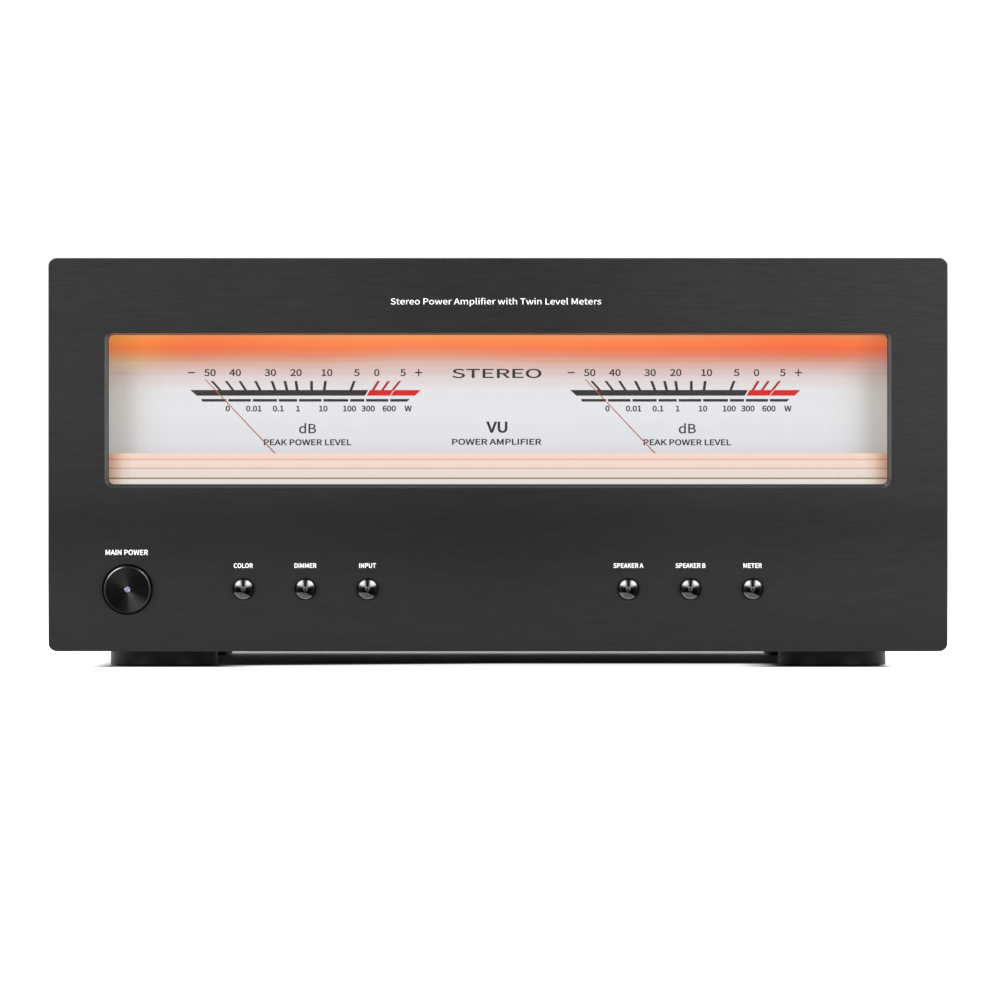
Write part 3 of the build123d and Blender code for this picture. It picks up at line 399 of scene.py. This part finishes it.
def moulded(name, colour, rough=0.45, grain=1800.0, depth=0.00004, shine=0.5):
    """Moulded plastic or rubber with a fine spark-eroded grain."""
    s = Shader(name)
    pores = s.noise(scale=grain, detail=2.0)
    cloud = s.noise(scale=60.0, detail=2.0)
    dark = tuple(c * 0.75 for c in colour[:3]) + (1.0,)
    tone = s.mix(s.spread(cloud, 0.35, 0.65), colour, dark)
    return s.surface(Base_Color=tone, Roughness=s.spread(pores, 0.3, 0.7, rough - 0.06, rough + 0.1),
                     Specular_IOR_Level=shine, Normal=s.bump(pores, depth, 0.5))


def plated(name, colour, rough=0.18):
    """Polished plating with faint turning marks and tarnish."""
    s = Shader(name)
    marks = s.noise(stretch=(900, 900, 900), detail=2.0)
    bloom = s.noise(scale=120.0, detail=3.0)
    tone = s.mix(s.spread(bloom, 0.45, 0.8, 0.0, 0.5), colour, tuple(c * 0.6 for c in colour[:3]) + (1.0,))
    return s.surface(Base_Color=tone, Metallic=1.0, Roughness=s.spread(bloom, 0.3, 0.7, rough, rough + 0.14),
                     Normal=s.bump(marks, 0.00001, 0.2))


def heatsink_anodised():
    """Black anodised extrusion with drawing lines along its height."""
    s = Shader("heatsink_black")
    lines = s.noise(stretch=(2200, 2200, 18), detail=2.0)
    tone = s.ramp(lines, [(0.3, grey(0.018)), (0.7, grey(0.034))])
    return s.surface(Base_Color=tone, Metallic=0.7, Roughness=s.spread(lines, 0.3, 0.7, 0.38, 0.55),
                     Normal=s.bump(lines, 0.00003, 0.5))


def circuit_board():
    """Green solder mask with tracks under it and pale pads."""
    s = Shader("circuit_board_green")
    tracks = s.add("TexBrick", {"offset": 0.37}, Vector=s.moved(scale=(1, 1, 1)), Scale=90.0).outputs["Fac"]
    pads = s.add("TexVoronoi", Vector=s.place, Scale=170.0).outputs["Distance"]
    green = s.mix(tracks, srgb(18, 74, 40), srgb(32, 104, 58))
    tone = s.mix(s.spread(pads, 0.16, 0.19, 1.0, 0.0), green, srgb(190, 186, 170))
    return s.surface(Base_Color=tone, Roughness=0.32, Normal=s.bump(tracks, 0.00003, 0.5))


TAPE_TURNS = 46


def wound_tape():
    """Yellow polyester tape wound round a toroid: overlapping turns fan out from its axis."""
    s = Shader("transformer_tape")
    x, y, _ = s.axes()
    middle = centre("transformer_right")
    side = s.math("SUBTRACT", s.math("ABSOLUTE", x), middle.x)
    turn = s.math("ARCTAN2", side, s.math("SUBTRACT", y, middle.y))
    edge = s.math("FRACT", s.math("MULTIPLY", turn, TAPE_TURNS / math.tau))
    tone = s.ramp(edge, [(0.0, srgb(150, 112, 30)), (0.10, srgb(205, 160, 52)), (1.0, srgb(222, 180, 74))])
    return s.surface(Base_Color=tone, Roughness=0.25, Specular_IOR_Level=0.6,
                     Normal=s.bump(edge, 0.0002, 0.6))


def capacitor_sleeve():
    """Dark blue shrink sleeve below a bare aluminium lid with a scored vent."""
    s = Shader("capacitor_blue_sleeve")
    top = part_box("filter_capacitors")[1].z
    up = s.add("NewGeometry").outputs["Normal"]
    lid = s.spread(s.axes(up)[2], 0.6, 0.8)
    stripe = s.spread(s.noise(stretch=(60, 60, 0.5), detail=0.0), 0.60, 0.61)
    body = s.mix(stripe, srgb(16, 26, 66), srgb(196, 198, 202))
    tone = s.mix(lid, body, srgb(190, 191, 194))
    score = s.math("SUBTRACT", top, s.axes()[2])
    rough = s.mix(lid, grey(0.28), grey(0.40))
    return s.surface(Base_Color=tone, Metallic=lid, Roughness=rough, Normal=s.bump(score, 0.0001, 0.2))


def lamp_strip():
    """White strip board whose lamps, on its underside, glow amber."""
    s = Shader("lamp_strip_amber")
    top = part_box("dial_light_board")[1].z
    lamp = s.spread(s.axes()[2], top - 1.7 * MM, top - 1.65 * MM, 1.0, 0.0)
    skin = s.add("BsdfPrincipled", Base_Color=s.ramp(s.noise(scale=800.0), [(0, grey(0.55)), (1, grey(0.7))]),
                 Roughness=0.5).outputs[0]
    light = s.add("Emission", Color=srgb(255, 128, 48), Strength=s.math("MULTIPLY", lamp, 4.0)).outputs[0]
    total = s.add("AddShader")
    s.tree.links.new(skin, total.inputs[0])
    s.tree.links.new(light, total.inputs[1])
    return s.result(total.outputs[0])


def cable_jackets():
    """PVC jackets: red on the right, blue on the left, brown and grey in the middle."""
    s = Shader("cable_jackets")
    x = s.axes()[0]
    where = s.spread(x, -0.13, 0.13)
    tone = s.ramp(where, [(0.0, srgb(28, 50, 120)), (0.38, srgb(84, 54, 32)), (0.5, srgb(120, 122, 124)),
                          (0.66, srgb(140, 26, 22))], "CONSTANT")
    return s.surface(Base_Color=tone, Roughness=0.38, Normal=s.bump(s.noise(scale=1500.0), 0.00003, 0.3))


def clear_knob(name, colour):
    """Tinted clear-plastic knob over a gold core, as on speaker terminals."""
    s = Shader(name)
    streak = s.noise(stretch=(700, 20, 700), detail=2.0)
    tone = s.mix(s.spread(streak, 0.35, 0.65), colour, tuple(c * 0.55 for c in colour[:3]) + (1.0,))
    return s.surface(Base_Color=tone, Roughness=s.spread(streak, 0.3, 0.7, 0.16, 0.28), Coat_Weight=0.2,
                     Coat_Roughness=0.08, Normal=s.bump(streak, 0.00002, 0.4))


def dress(material, *nodes):
    """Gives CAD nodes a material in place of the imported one."""
    for name in nodes:
        slots = NODES[name].material_slots
        if not slots:
            NODES[name].data.materials.append(material)
        for material_slot in NODES[name].material_slots:
            material_slot.material = material


DARK_RIM = [(0, 0.006), (360, 0.006)]
# Small caps: painted highlights upper left and right (fan), painted floor reflection below (floor).
SMALL_CAP = {
    "fan": [(0, 0.008), (12, 0.010), (20, 0.32), (30, 0.86), (44, 0.90), (56, 0.60), (66, 0.06), (80, 0.005),
            (180, 0.005), (278, 0.005), (294, 0.06), (304, 0.60), (316, 0.90), (330, 0.80), (340, 0.30),
            (348, 0.010), (360, 0.008)],
    "fade": [(0.0, 0.0), (0.20, 0.05), (0.42, 0.20), (0.70, 0.62), (0.84, 1.0), (0.92, 0.12)],
    "floor": [(0.0, 0.02), (0.07, 0.14), (0.30, 0.13), (0.37, 0.0)],
    "boss": [(0.0, 0.0), (0.08, 0.0), (0.13, 0.10), (0.18, 0.10), (0.23, 0.0)],
    "rim": DARK_RIM, "rim_from": 0.92, "rim_to": 0.92, "lean": 0.55,
}
# Power button: faint painted highlights on its face (fan), painted highlight arcs on its ring (rim).
POWER_CAP = {
    "fan": [(0, 0.006), (20, 0.002), (112, 0.002), (126, 0.018), (145, 0.050), (168, 0.040), (182, 0.004),
            (240, 0.002), (290, 0.004), (318, 0.014), (345, 0.010), (360, 0.006)],
    "fade": [(0.0, 1.0), (0.2, 1.5), (0.5, 1.0), (1.0, 1.0)],
    "floor": [(0.0, 0.0), (1.0, 0.0)],
    "boss": [(0.0, 0.0), (1.0, 0.0)],
    "rim": [(0, 0.01), (24, 0.01), (34, 0.16), (48, 0.24), (62, 0.10), (90, 0.04), (150, 0.04), (175, 0.006),
            (295, 0.006), (304, 0.40), (325, 0.62), (340, 0.50), (348, 0.02), (360, 0.01)],
    "rim_from": 0.925, "rim_to": 0.962, "lean": 0.0,
}
POWER_CAP_R, SMALL_CAP_R = 11.7 * MM, 5.2 * MM


def dress_frame():
    dress(brushed_fascia(), "front_panel")
    dress(window_glass(), "window_glass")
    dress(dial_face(), "dial_plate")
    dress(ledge_plastic(), "dial_step_trim")
    dress(light_box_plastic(), "meter_housing")
    dress(lamp_strip(), "dial_light_board")
    dress(glow_paint("needle_orange", srgb(176, 80, 36), 0.95, grey(0.03)), "needle_left", "needle_right")
    dress(spun_metal("power_button_spun_painted_highlights", "power_button", POWER_CAP_R, POWER_CAP, 0.95, 0.32), "power_button")
    for name in SMALL_BUTTONS:
        cap = spun_metal(f"spun_chrome_painted_highlights_{name}", f"button_{name}", SMALL_CAP_R, SMALL_CAP, 1.0, 0.25)
        dress(cap, f"button_{name}")
    dress(powder_coat("cover_powder_coat", 0.012), "top_cover")
    dress(powder_coat("rear_powder_coat", 0.011, 2200.0), "rear_panel", "bottom_plate")
    zinc = sheet_steel("zinc_plate", srgb(176, 178, 184))
    dress(zinc, "front_subpanel", "transformer_clamps")
    dress(sheet_steel("black_oxide", srgb(62, 62, 66), (900, 900, 900)), "machine_screws")
    dress(moulded("gasket_foam", grey(0.012), 0.9, 900.0, 0.0003), "window_gasket")
    dress(moulded("foot_moulding", grey(0.003), 0.42, shine=0.12), "feet")
    dress(moulded("foot_pad_rubber", grey(0.02), 0.85, 1200.0, 0.0002), "foot_pads")
    dress(moulded("movement_moulding", grey(0.02), 0.35), "meter_movements")
    dress(moulded("black_moulding", grey(0.015), 0.40), "button_switches", "output_transistors",
          "bridge_rectifiers", "xlr_sockets", "mains_inlet", "mains_rocker", "post_insulators")
    dress(heatsink_anodised(), "heatsink_left", "heatsink_right")
    dress(circuit_board(), "button_board", "amplifier_boards", "power_supply_board", "input_board")
    dress(wound_tape(), "transformer_left", "transformer_right")
    dress(capacitor_sleeve(), "filter_capacitors")
    gold = plated("gold_plate", srgb(226, 184, 104))
    dress(gold, "rca_sockets", "post_stems")
    dress(cable_jackets(), "wiring")
    red = clear_knob("knob_red_plastic", srgb(150, 12, 14))
    black = clear_knob("knob_black_plastic", grey(0.016))
    for i in range(1, 9):
        dress(gold, f"clamp_washer_{i}")
        dress(red if i % 2 == 0 else black, f"post_knob_{i}")


# ---- Printing ----------------------------------------------------------------------------
PRINT_T = 0.03 * MM          # thickness of a printed mark
PRINT_GAP = 0.01 * MM        # it stands just clear of the face that it is printed on
TRIAL_SIZE = 0.02            # size at which text is first set, before it is scaled


def plain_typeface():
    """A sans-serif typeface that comes with Blender, or its built-in one."""
    path = os.path.join(bpy.utils.system_resource("DATAFILES"), "fonts", "Noto Sans CJK Regular.woff2")
    return bpy.data.fonts.load(path) if os.path.exists(path) else None


TYPEFACE = plain_typeface()


def letter_mesh(words, swell=0.0):
    """Text as a thin closed mesh in the XY plane, with its strokes swollen by a length at the trial size."""
    curve = bpy.data.curves.new("words", "FONT")
    curve.body = words
    curve.size = TRIAL_SIZE
    if TYPEFACE:
        curve.font = TYPEFACE
    curve.extrude = PRINT_T / 4
    curve.bevel_depth = swell
    curve.bevel_resolution = 0
    curve.resolution_u = 4
    holder = bpy.data.objects.new("words", curve)
    bpy.context.scene.collection.objects.link(holder)
    mesh = bpy.data.meshes.new_from_object(holder.evaluated_get(bpy.context.evaluated_depsgraph_get()))
    bpy.data.objects.remove(holder)
    bpy.data.curves.remove(curve)
    return mesh


def extent(mesh):
    spans = [[v.co[axis] for v in mesh.vertices] for axis in range(3)]
    return [(min(span), max(span)) for span in spans]


def capital(swell=0.0):
    """Foot and top of a capital, and its back and front, at the trial size."""
    mesh = letter_mesh("H", swell)
    _, upright, depth = extent(mesh)
    bpy.data.meshes.remove(mesh)
    return *upright, *depth


TRIAL_CAP = capital()[1]


class Print:
    """Marks printed on one flat face, gathered into a single piece."""

    def __init__(self, name, face_y, rear=False):
        self.name = name
        self.mesh = bmesh.new()
        self.rear = rear
        side = 1 if rear else -1
        self.y = face_y + side * (PRINT_GAP + PRINT_T / 2)

    def upright(self, x, z):
        """Turns drawing X, Y into the face's right and up at a place, as its reader sees them."""
        stand = Matrix.Rotation(math.pi / 2, 4, "X")
        if self.rear:
            stand = Matrix.Rotation(math.pi, 4, "Z") @ stand
        return Matrix.Translation((x, self.y, z)) @ stand

    def text(self, words, x, z, cap, width=None, bold=0.0, wide=1.0):
        """Words centred at a place, with capitals of a height, fitted to a width or else widened by a factor.

        Bold is how much a stroke gains on each side, as a share of the capitals' height.
        """
        foot, top, back, front = capital(bold * TRIAL_CAP)
        mesh = letter_mesh(words, bold * TRIAL_CAP)
        left, right = extent(mesh)[0]
        scale = cap / (top - foot)
        across = width / (right - left) if width else scale * wide
        fit = Matrix.Diagonal((across, scale, PRINT_T / (front - back), 1))
        fit @= Matrix.Translation((-(left + right) / 2, -(foot + top) / 2, 0))
        mesh.transform(self.upright(x, z) @ fit)
        self.mesh.from_mesh(mesh)
        bpy.data.meshes.remove(mesh)

    def outline(self, points, x=0.0, z=0.0):
        """A filled closed outline, drawn as its reader sees it."""
        place = self.upright(x, z)
        front = [self.mesh.verts.new(place @ Vector((px, pz, PRINT_T / 2))) for px, pz in points]
        back = [self.mesh.verts.new(place @ Vector((px, pz, -PRINT_T / 2))) for px, pz in points]
        self.mesh.faces.new(front)
        self.mesh.faces.new(reversed(back))
        for i in range(len(points)):
            j = (i + 1) % len(points)
            self.mesh.faces.new((front[j], front[i], back[i], back[j]))

    def bar(self, x0, x1, z0, z1):
        self.outline([(x0, z0), (x1, z0), (x1, z1), (x0, z1)])

    def done(self, material, body, slot_name):
        bmesh.ops.recalc_face_normals(self.mesh, faces=self.mesh.faces)
        data = bpy.data.meshes.new(self.name)
        self.mesh.to_mesh(data)
        self.mesh.free()
        data.materials.append(material)
        piece = bpy.data.objects.new(self.name, data)
        bpy.context.scene.collection.objects.link(piece)
        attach(piece, body)
        return piece


# The two scales are drawn in mm about the needle's pivot and enlarged by these.
DIAL_SCALE_X, DIAL_SCALE_Z = 1.0137, 1.0087
BAR_TOP, BAR_LOW = 49.9, 47.1
TICK_TOP, TICK_W = 54.3, 1.35
THIN_TOP, THIN_LOW = 45.5, 44.2
BLACK_TICKS = (-41.8, -37.5, -32.8, -26.7, -19.6, -13.5, -8.0, 0.0, 7.1, 21.0)
RED_TICKS = (31.0, 34.7, 38.4)
UPPER_NUMBERS = (("50", -49.5), ("40", -37.2), ("30", -20.1), ("20", -7.6), ("10", 7.5), ("5", 22.0),
                 ("0", 31.75), ("5", 44.5))
LOWER_NUMBERS = (("0", -40.8), ("0.01", -28.1), ("0.1", -16.2), ("1", -6.6), ("10", 5.7), ("100", 18.5),
                 ("300", 27.5), ("600", 37.8), ("W", 47.0))
THIN_GAPS = (-41.0, -29.1, -16.4, -6.6, 5.3, 18.3, 26.1, 37.8)


def scale_print(side):
    pivot = PIVOTS[side]
    unit_x, unit_z = MM * DIAL_SCALE_X, MM * DIAL_SCALE_Z
    dark = Print(f"scale_{side}_dark", DIAL_FRONT)
    red = Print(f"scale_{side}_red", DIAL_FRONT)

    def shape(print_, points):
        print_.outline([(x * unit_x, z * unit_z) for x, z in points], pivot.x, pivot.z)

    def words(text, x, z, cap, width=None, bold=0.0, wide=1.0):
        width = width * unit_x if width else None
        dark.text(text, pivot.x + x * unit_x, pivot.z + z * unit_z, cap * unit_z, width, bold, wide)

    def tick(print_, degrees):
        lean = math.tan(math.radians(degrees))
        top_x, low_x, half = TICK_TOP * lean, BAR_TOP * lean, TICK_W / 2
        shape(print_, [(low_x - half, BAR_TOP), (low_x + half, BAR_TOP),
                       (top_x + half, TICK_TOP), (top_x - half, TICK_TOP)])

    for degrees in BLACK_TICKS:
        tick(dark, degrees)
    shape(dark, [(-59.05, BAR_TOP), (-55.9, BAR_LOW), (26.0, BAR_LOW), (27.6, BAR_TOP)])
    for degrees in RED_TICKS:
        tick(red, degrees)
    shape(red, [(26.8, BAR_LOW), (28.4, BAR_TOP), (40.0, BAR_TOP), (38.0, BAR_LOW)])
    shape(red, [(38.4, BAR_LOW), (40.5, BAR_TOP), (53.2, BAR_TOP), (50.3, BAR_LOW)])

    edges = [-53.2] + [g for gap in THIN_GAPS for g in (gap - 0.45, gap + 0.45)] + [46.4]
    for i, (left, right) in enumerate(zip(edges[::2], edges[1::2])):
        start = left - 0.6 if i == 0 else left
        stop = right + 1.5 if i == len(THIN_GAPS) else right
        shape(dark, [(start, THIN_TOP), (left, THIN_LOW), (right, THIN_LOW), (stop, THIN_TOP)])

    for text, x in UPPER_NUMBERS:
        words(text, x, 58.4, 3.35, bold=0.032, wide=1.22)
    for text, x in LOWER_NUMBERS:
        words(text, x, 40.8, 2.85, bold=0.045, wide=1.12)
    shape(dark, [(-60.2, 58.1), (-56.8, 58.1), (-56.8, 58.7), (-60.2, 58.7)])
    shape(dark, [(50.3, 58.1), (53.9, 58.1), (53.9, 58.7), (50.3, 58.7)])
    shape(dark, [(51.8, 56.6), (52.4, 56.6), (52.4, 60.15), (51.8, 60.15)])
    words("dB", -1.95, 31.0, 4.6, 8.3, bold=0.018)
    words("PEAK POWER LEVEL", -1.95, 24.3, 2.95, 42.6, bold=0.04)
    return dark, red


def dial_printing():
    ink = glow_paint("dial_ink_dark", srgb(42, 34, 37), 1.0, grey(0.01))
    red_ink = two_tone_red(PIVOTS["left"].z + 50.5 * MM)
    for side in PIVOTS:
        dark, red = scale_print(side)
        dark.done(ink, "chassis", "dial")
        red.done(red_ink, "chassis", "dial")
    words = Print("dial_wording", DIAL_FRONT)
    middle = -0.6 * MM
    words.text("STEREO", middle, MID_Z + 40.1 * MM, 4.5 * MM, 44.2 * MM, bold=0.018)
    words.text("VU", middle, MID_Z + 13.6 * MM, 5.5 * MM, 10.5 * MM, bold=0.045)
    words.text("POWER AMPLIFIER", middle, MID_Z + 6.35 * MM, 2.95 * MM, 44.2 * MM, bold=0.04)
    words.done(ink, "chassis", "dial")


PANEL_WORDS = {"colour": "COLOR", "dimmer": "DIMMER", "input": "INPUT", "speaker_a": "SPEAKER A",
               "speaker_b": "SPEAKER B", "meter": "METER"}


def panel_printing():
    white = silk_print("panel_print_white", srgb(240, 240, 240))
    words = Print("panel_wording", PANEL_FRONT)
    title = "Stereo Power Amplifier with Twin Level Meters"
    words.text(title, -1.0 * MM, MID_Z + 75.0 * MM, 2.9 * MM, 103 * MM)
    power = centre("power_button")
    words.text("MAIN POWER", power.x - 0.3 * MM, MID_Z - 47.8 * MM, 2.5 * MM, 20.8 * MM, bold=0.026)
    for name in SMALL_BUTTONS:
        x = centre(f"button_{name}").x
        words.text(PANEL_WORDS[name], x, MID_Z - 54.25 * MM, 2.28 * MM, bold=0.028, wide=0.97)
    words.done(white, "chassis", "fascia")


def rear_printing():
    white = silk_print("rear_print_white", srgb(214, 214, 214))
    words = Print("rear_wording", REAR_FACE, rear=True)
    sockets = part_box("xlr_sockets")
    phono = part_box("rca_sockets")
    socket_z = centre("xlr_sockets").z
    for sign, letter in ((-1, "LEFT"), (1, "RIGHT")):
        x_line = sign * (phono[1].x - 6.8 * MM)
        x_balanced = sign * (sockets[1].x - 13 * MM)
        words.text("LINE", x_line, socket_z + 13 * MM, 2.6 * MM, bold=0.01)
        words.text("BALANCED", x_balanced, socket_z + 20 * MM, 2.6 * MM, bold=0.01)
        words.text(letter, sign * 136 * MM, socket_z, 3.4 * MM, bold=0.012)
    words.text("INPUTS", 0, socket_z + 20 * MM, 3.2 * MM, bold=0.012)
    knobs = [centre(f"post_knob_{i}") for i in range(1, 9)]
    for i, knob in enumerate(knobs):
        words.text("+" if i % 2 else "-", knob.x, knob.z + 13.5 * MM, 3.6 * MM, bold=0.02)
    for first, second, letter in ((0, 1, "B"), (2, 3, "A"), (4, 5, "A"), (6, 7, "B")):
        x = (knobs[first].x + knobs[second].x) / 2
        words.text(letter, x, knobs[0].z + 13.5 * MM, 3.2 * MM, bold=0.012)
    for first, second in ((0, 3), (4, 7)):
        x = (knobs[first].x + knobs[second].x) / 2
        words.text("SPEAKERS", x, knobs[0].z + 22 * MM, 3.2 * MM, bold=0.012)
        line_z = knobs[0].z - 15 * MM
        words.bar(knobs[first].x - 6 * MM, knobs[second].x + 6 * MM, line_z, line_z + 0.4 * MM)
    inlet_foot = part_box("mains_inlet")[0].z
    words.text("MAINS", 0, inlet_foot - 6 * MM, 2.8 * MM, bold=0.012)
    words.done(white, "chassis", "black_sheet")


# ---- Small turned pieces -----------------------------------------------------------------
def turned(name, profile, place, material, body, segments=48):
    """A piece turned about an axis along Y. The profile is (radius, y) from axis to axis."""
    shape = bmesh.new()
    rings = []
    for radius, y in profile:
        if radius < 1e-7:
            rings.append([shape.verts.new((0, y, 0))])
        else:
            steps = [math.tau * i / segments for i in range(segments)]
            rings.append([shape.verts.new((radius * math.cos(a), y, radius * math.sin(a))) for a in steps])
    for ring, following in zip(rings, rings[1:]):
        for i in range(segments):
            j = (i + 1) % segments
            corners = [ring[i % len(ring)], ring[j % len(ring)],
                       following[j % len(following)], following[i % len(following)]]
            shape.faces.new(list(dict.fromkeys(corners)))
    bmesh.ops.recalc_face_normals(shape, faces=shape.faces)
    data = bpy.data.meshes.new(name)
    shape.to_mesh(data)
    shape.free()
    for face in data.polygons:
        face.use_smooth = True
    data.materials.append(material)
    piece = bpy.data.objects.new(name, data)
    piece.location = place
    bpy.context.scene.collection.objects.link(piece)
    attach(piece, body)
    return piece


def power_lamp():
    """Blue-white light pipe in the middle of the power button."""
    s = Shader("power_lamp_blue")
    spot = s.noise(scale=1100.0, detail=0.0)
    colour = s.ramp(spot, [(0.42, srgb(66, 68, 130)), (0.56, srgb(100, 104, 170)),
                           (0.68, srgb(240, 243, 255))])
    material = lit_plastic(s, colour, 0.9, grey(0.1))
    middle = centre("power_button")
    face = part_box("power_button")[0].y
    radius = 1.38 * MM
    steps = [math.pi / 2 * i / 6 for i in range(7)]
    dome = [(radius * math.sin(a), face + 0.7 * MM - 0.55 * MM * math.cos(a)) for a in steps]
    profile = dome + [(radius, face + 4 * MM), (0.0, face + 4 * MM)]
    turned("power_lamp", profile, (middle.x, 0, middle.z), material, "power_button")


# ---- Studio ------------------------------------------------------------------------------
CAMERA_DISTANCE = 5.3
FRAME_WIDTH = 0.48927        # width of the view at the panel's front face
VIEW_DROP = 0.0453           # the panel's middle stands above the picture's middle by this share


FLOOR_HALF = 14.0            # half the floor's side
FLOOR_GLOW = 0.9             # the floor's own light where no shadow is wanted
FLOOR_GLOW_BEHIND = 0.32     # just enough to match the white behind it
FOOT_SIDE = 0.1915           # outer side of a foot, by distance from the middle


def studio_floor():
    """Pale floor, darker under the amplifier as a painted shadow and lit around it by its own glow as painted
    light, so that its shadow stays thin and soft.

    The zones are in metres in the amplifier's frame, and glow holds how much light the floor gives off itself.
    """
    s = Shader("studio_floor_pale_painted_shadow")
    tone = s.ramp(s.noise(scale=3.0, detail=2.0), [(0.3, grey(0.90)), (0.7, grey(0.92))])
    x, y, _ = s.axes()
    across = s.math("ABSOLUTE", x)
    # Painted shadow: darker under the amplifier, from near its front to just behind its rear.
    painted_shadow_zone = s.math("MULTIPLY", s.spread(y, -0.11, -0.09), s.spread(across, 0.19, 0.15))
    tone = s.mix(s.math("MULTIPLY", painted_shadow_zone, s.spread(y, 0.25, 0.228)), tone, grey(0.32))
    # Painted light: the floor's own glow away from the amplifier and in zones close round it.
    away = s.math("SQRT", s.math("ADD", s.math("MULTIPLY", x, x), s.math("MULTIPLY", y, y)))
    glow = s.spread(away, 0.35, 1.2, 0.0, FLOOR_GLOW)
    edge = s.spread(x, -0.12, 0.0, -0.145, -0.10)
    between_feet = s.math("MULTIPLY", s.spread(s.math("SUBTRACT", y, edge), 0.0, -0.02, 0.0, FLOOR_GLOW),
                          s.spread(across, 0.138, 0.12))
    left = s.math("ADD", s.spread(x, -FOOT_SIDE, -0.201, 0.1, FLOOR_GLOW), s.spread(y, -0.18, 0.0, 0.0, 0.5))
    left = s.math("MULTIPLY", left, s.math("LESS_THAN", x, -FOOT_SIDE))
    right = s.spread(x, 0.189, 0.194, 0.0, FLOOR_GLOW)
    in_front = s.spread(y, -0.187, -0.2, 0.0, FLOOR_GLOW)
    for lit in (in_front, between_feet, left, right):
        glow = s.math("MAXIMUM", glow, lit)
    glow = s.math("MINIMUM", glow, s.spread(y, 0.25, 0.6, 1.4, FLOOR_GLOW_BEHIND))
    material = s.surface(Base_Color=tone, Roughness=0.6, Specular_IOR_Level=0.2,
                         Emission_Color=grey(1.0), Emission_Strength=glow)
    data = bpy.data.meshes.new("studio_floor")
    signs = ((-1, -1), (1, -1), (1, 1), (-1, 1))
    data.from_pydata([(i * FLOOR_HALF, j * FLOOR_HALF, 0) for i, j in signs], [], [(0, 1, 2, 3)])
    data.materials.append(material)
    floor = bpy.data.objects.new("studio_floor", data)
    bpy.context.scene.collection.objects.link(floor)


def soft_box(name, place, aim, width, height, power, colour=(1, 1, 1)):
    light = bpy.data.lights.new(name, "AREA")
    light.shape = "RECTANGLE"
    light.size, light.size_y = width, height
    light.energy = power
    light.color = colour
    lamp = bpy.data.objects.new(name, light)
    lamp.location = place
    lamp.rotation_euler = (Vector(aim) - Vector(place)).to_track_quat("-Z", "Y").to_euler()
    bpy.context.scene.collection.objects.link(lamp)
    lamp.visible_camera = False


def studio_world():
    """White to the camera; for light and reflections, a soft dome that is brighter above and behind."""
    world = bpy.data.worlds.new("studio_world")
    world.use_nodes = True
    tree = world.node_tree
    tree.nodes.clear()
    new = lambda kind: tree.nodes.new("ShaderNode" + kind)
    direction = new("TexCoord").outputs["Generated"]
    split = new("SeparateXYZ")
    tree.links.new(direction, split.inputs[0])
    height = new("MapRange")
    tree.links.new(split.outputs["Z"], height.inputs["Value"])
    for key, value in (("From Min", -0.1), ("From Max", 1.0), ("To Min", 0.62), ("To Max", 1.0)):
        height.inputs[key].default_value = value
    depth = new("MapRange")
    tree.links.new(split.outputs["Y"], depth.inputs["Value"])
    for key, value in (("From Min", -1.0), ("From Max", 1.0), ("To Min", 0.8), ("To Max", 1.1)):
        depth.inputs[key].default_value = value
    product = new("Math")
    product.operation = "MULTIPLY"
    tree.links.new(height.outputs[0], product.inputs[0])
    tree.links.new(depth.outputs[0], product.inputs[1])
    dome, seen = new("Background"), new("Background")
    for background in (dome, seen):
        background.inputs["Color"].default_value = (1, 1, 1, 1)
    tree.links.new(product.outputs[0], dome.inputs["Strength"])
    seen.inputs["Strength"].default_value = 1.05
    path, choose, output = new("LightPath"), new("MixShader"), new("OutputWorld")
    tree.links.new(path.outputs["Is Camera Ray"], choose.inputs[0])
    tree.links.new(dome.outputs[0], choose.inputs[1])
    tree.links.new(seen.outputs[0], choose.inputs[2])
    tree.links.new(choose.outputs[0], output.inputs["Surface"])
    bpy.context.scene.world = world


def studio():
    studio_floor()
    studio_world()
    soft_box("soft_box_left", (-1.15, 0.0, 1.8), (0, 0, 0.1), 1.3, 1.3, 42)
    soft_box("soft_box_right", (1.5, 0.0, 1.45), (0, 0, 0.1), 0.9, 0.9, 26)
    soft_box("low_light_left", (-1.25, -1.2, 0.22), (0, -0.1, 0.03), 0.7, 0.36, 9)
    soft_box("low_light_right", (1.25, -1.2, 0.22), (0, -0.1, 0.03), 0.7, 0.36, 10)
    soft_box("soft_box_behind", (0.4, 2.6, 1.3), (0, 0.2, 0.1), 1.6, 1.2, 8)
    view = bpy.data.cameras.new("view")
    view.sensor_width = 36.0
    view.lens = view.sensor_width * CAMERA_DISTANCE / FRAME_WIDTH
    view.shift_x, view.shift_y = 0.002, -VIEW_DROP
    view.clip_end = 60.0
    camera = bpy.data.objects.new("view", view)
    camera.location = (0, PANEL_FRONT - CAMERA_DISTANCE, MID_Z)
    camera.rotation_euler = (math.pi / 2, 0, 0)
    bpy.context.scene.collection.objects.link(camera)
    bpy.context.scene.camera = camera
    bpy.context.scene.view_settings.view_transform = "Standard"
    bpy.context.scene.cycles.use_denoising = True


# ---- Put together ------------------------------------------------------------------------
dress_frame()
dial_printing()
panel_printing()
rear_printing()
power_lamp()
studio()
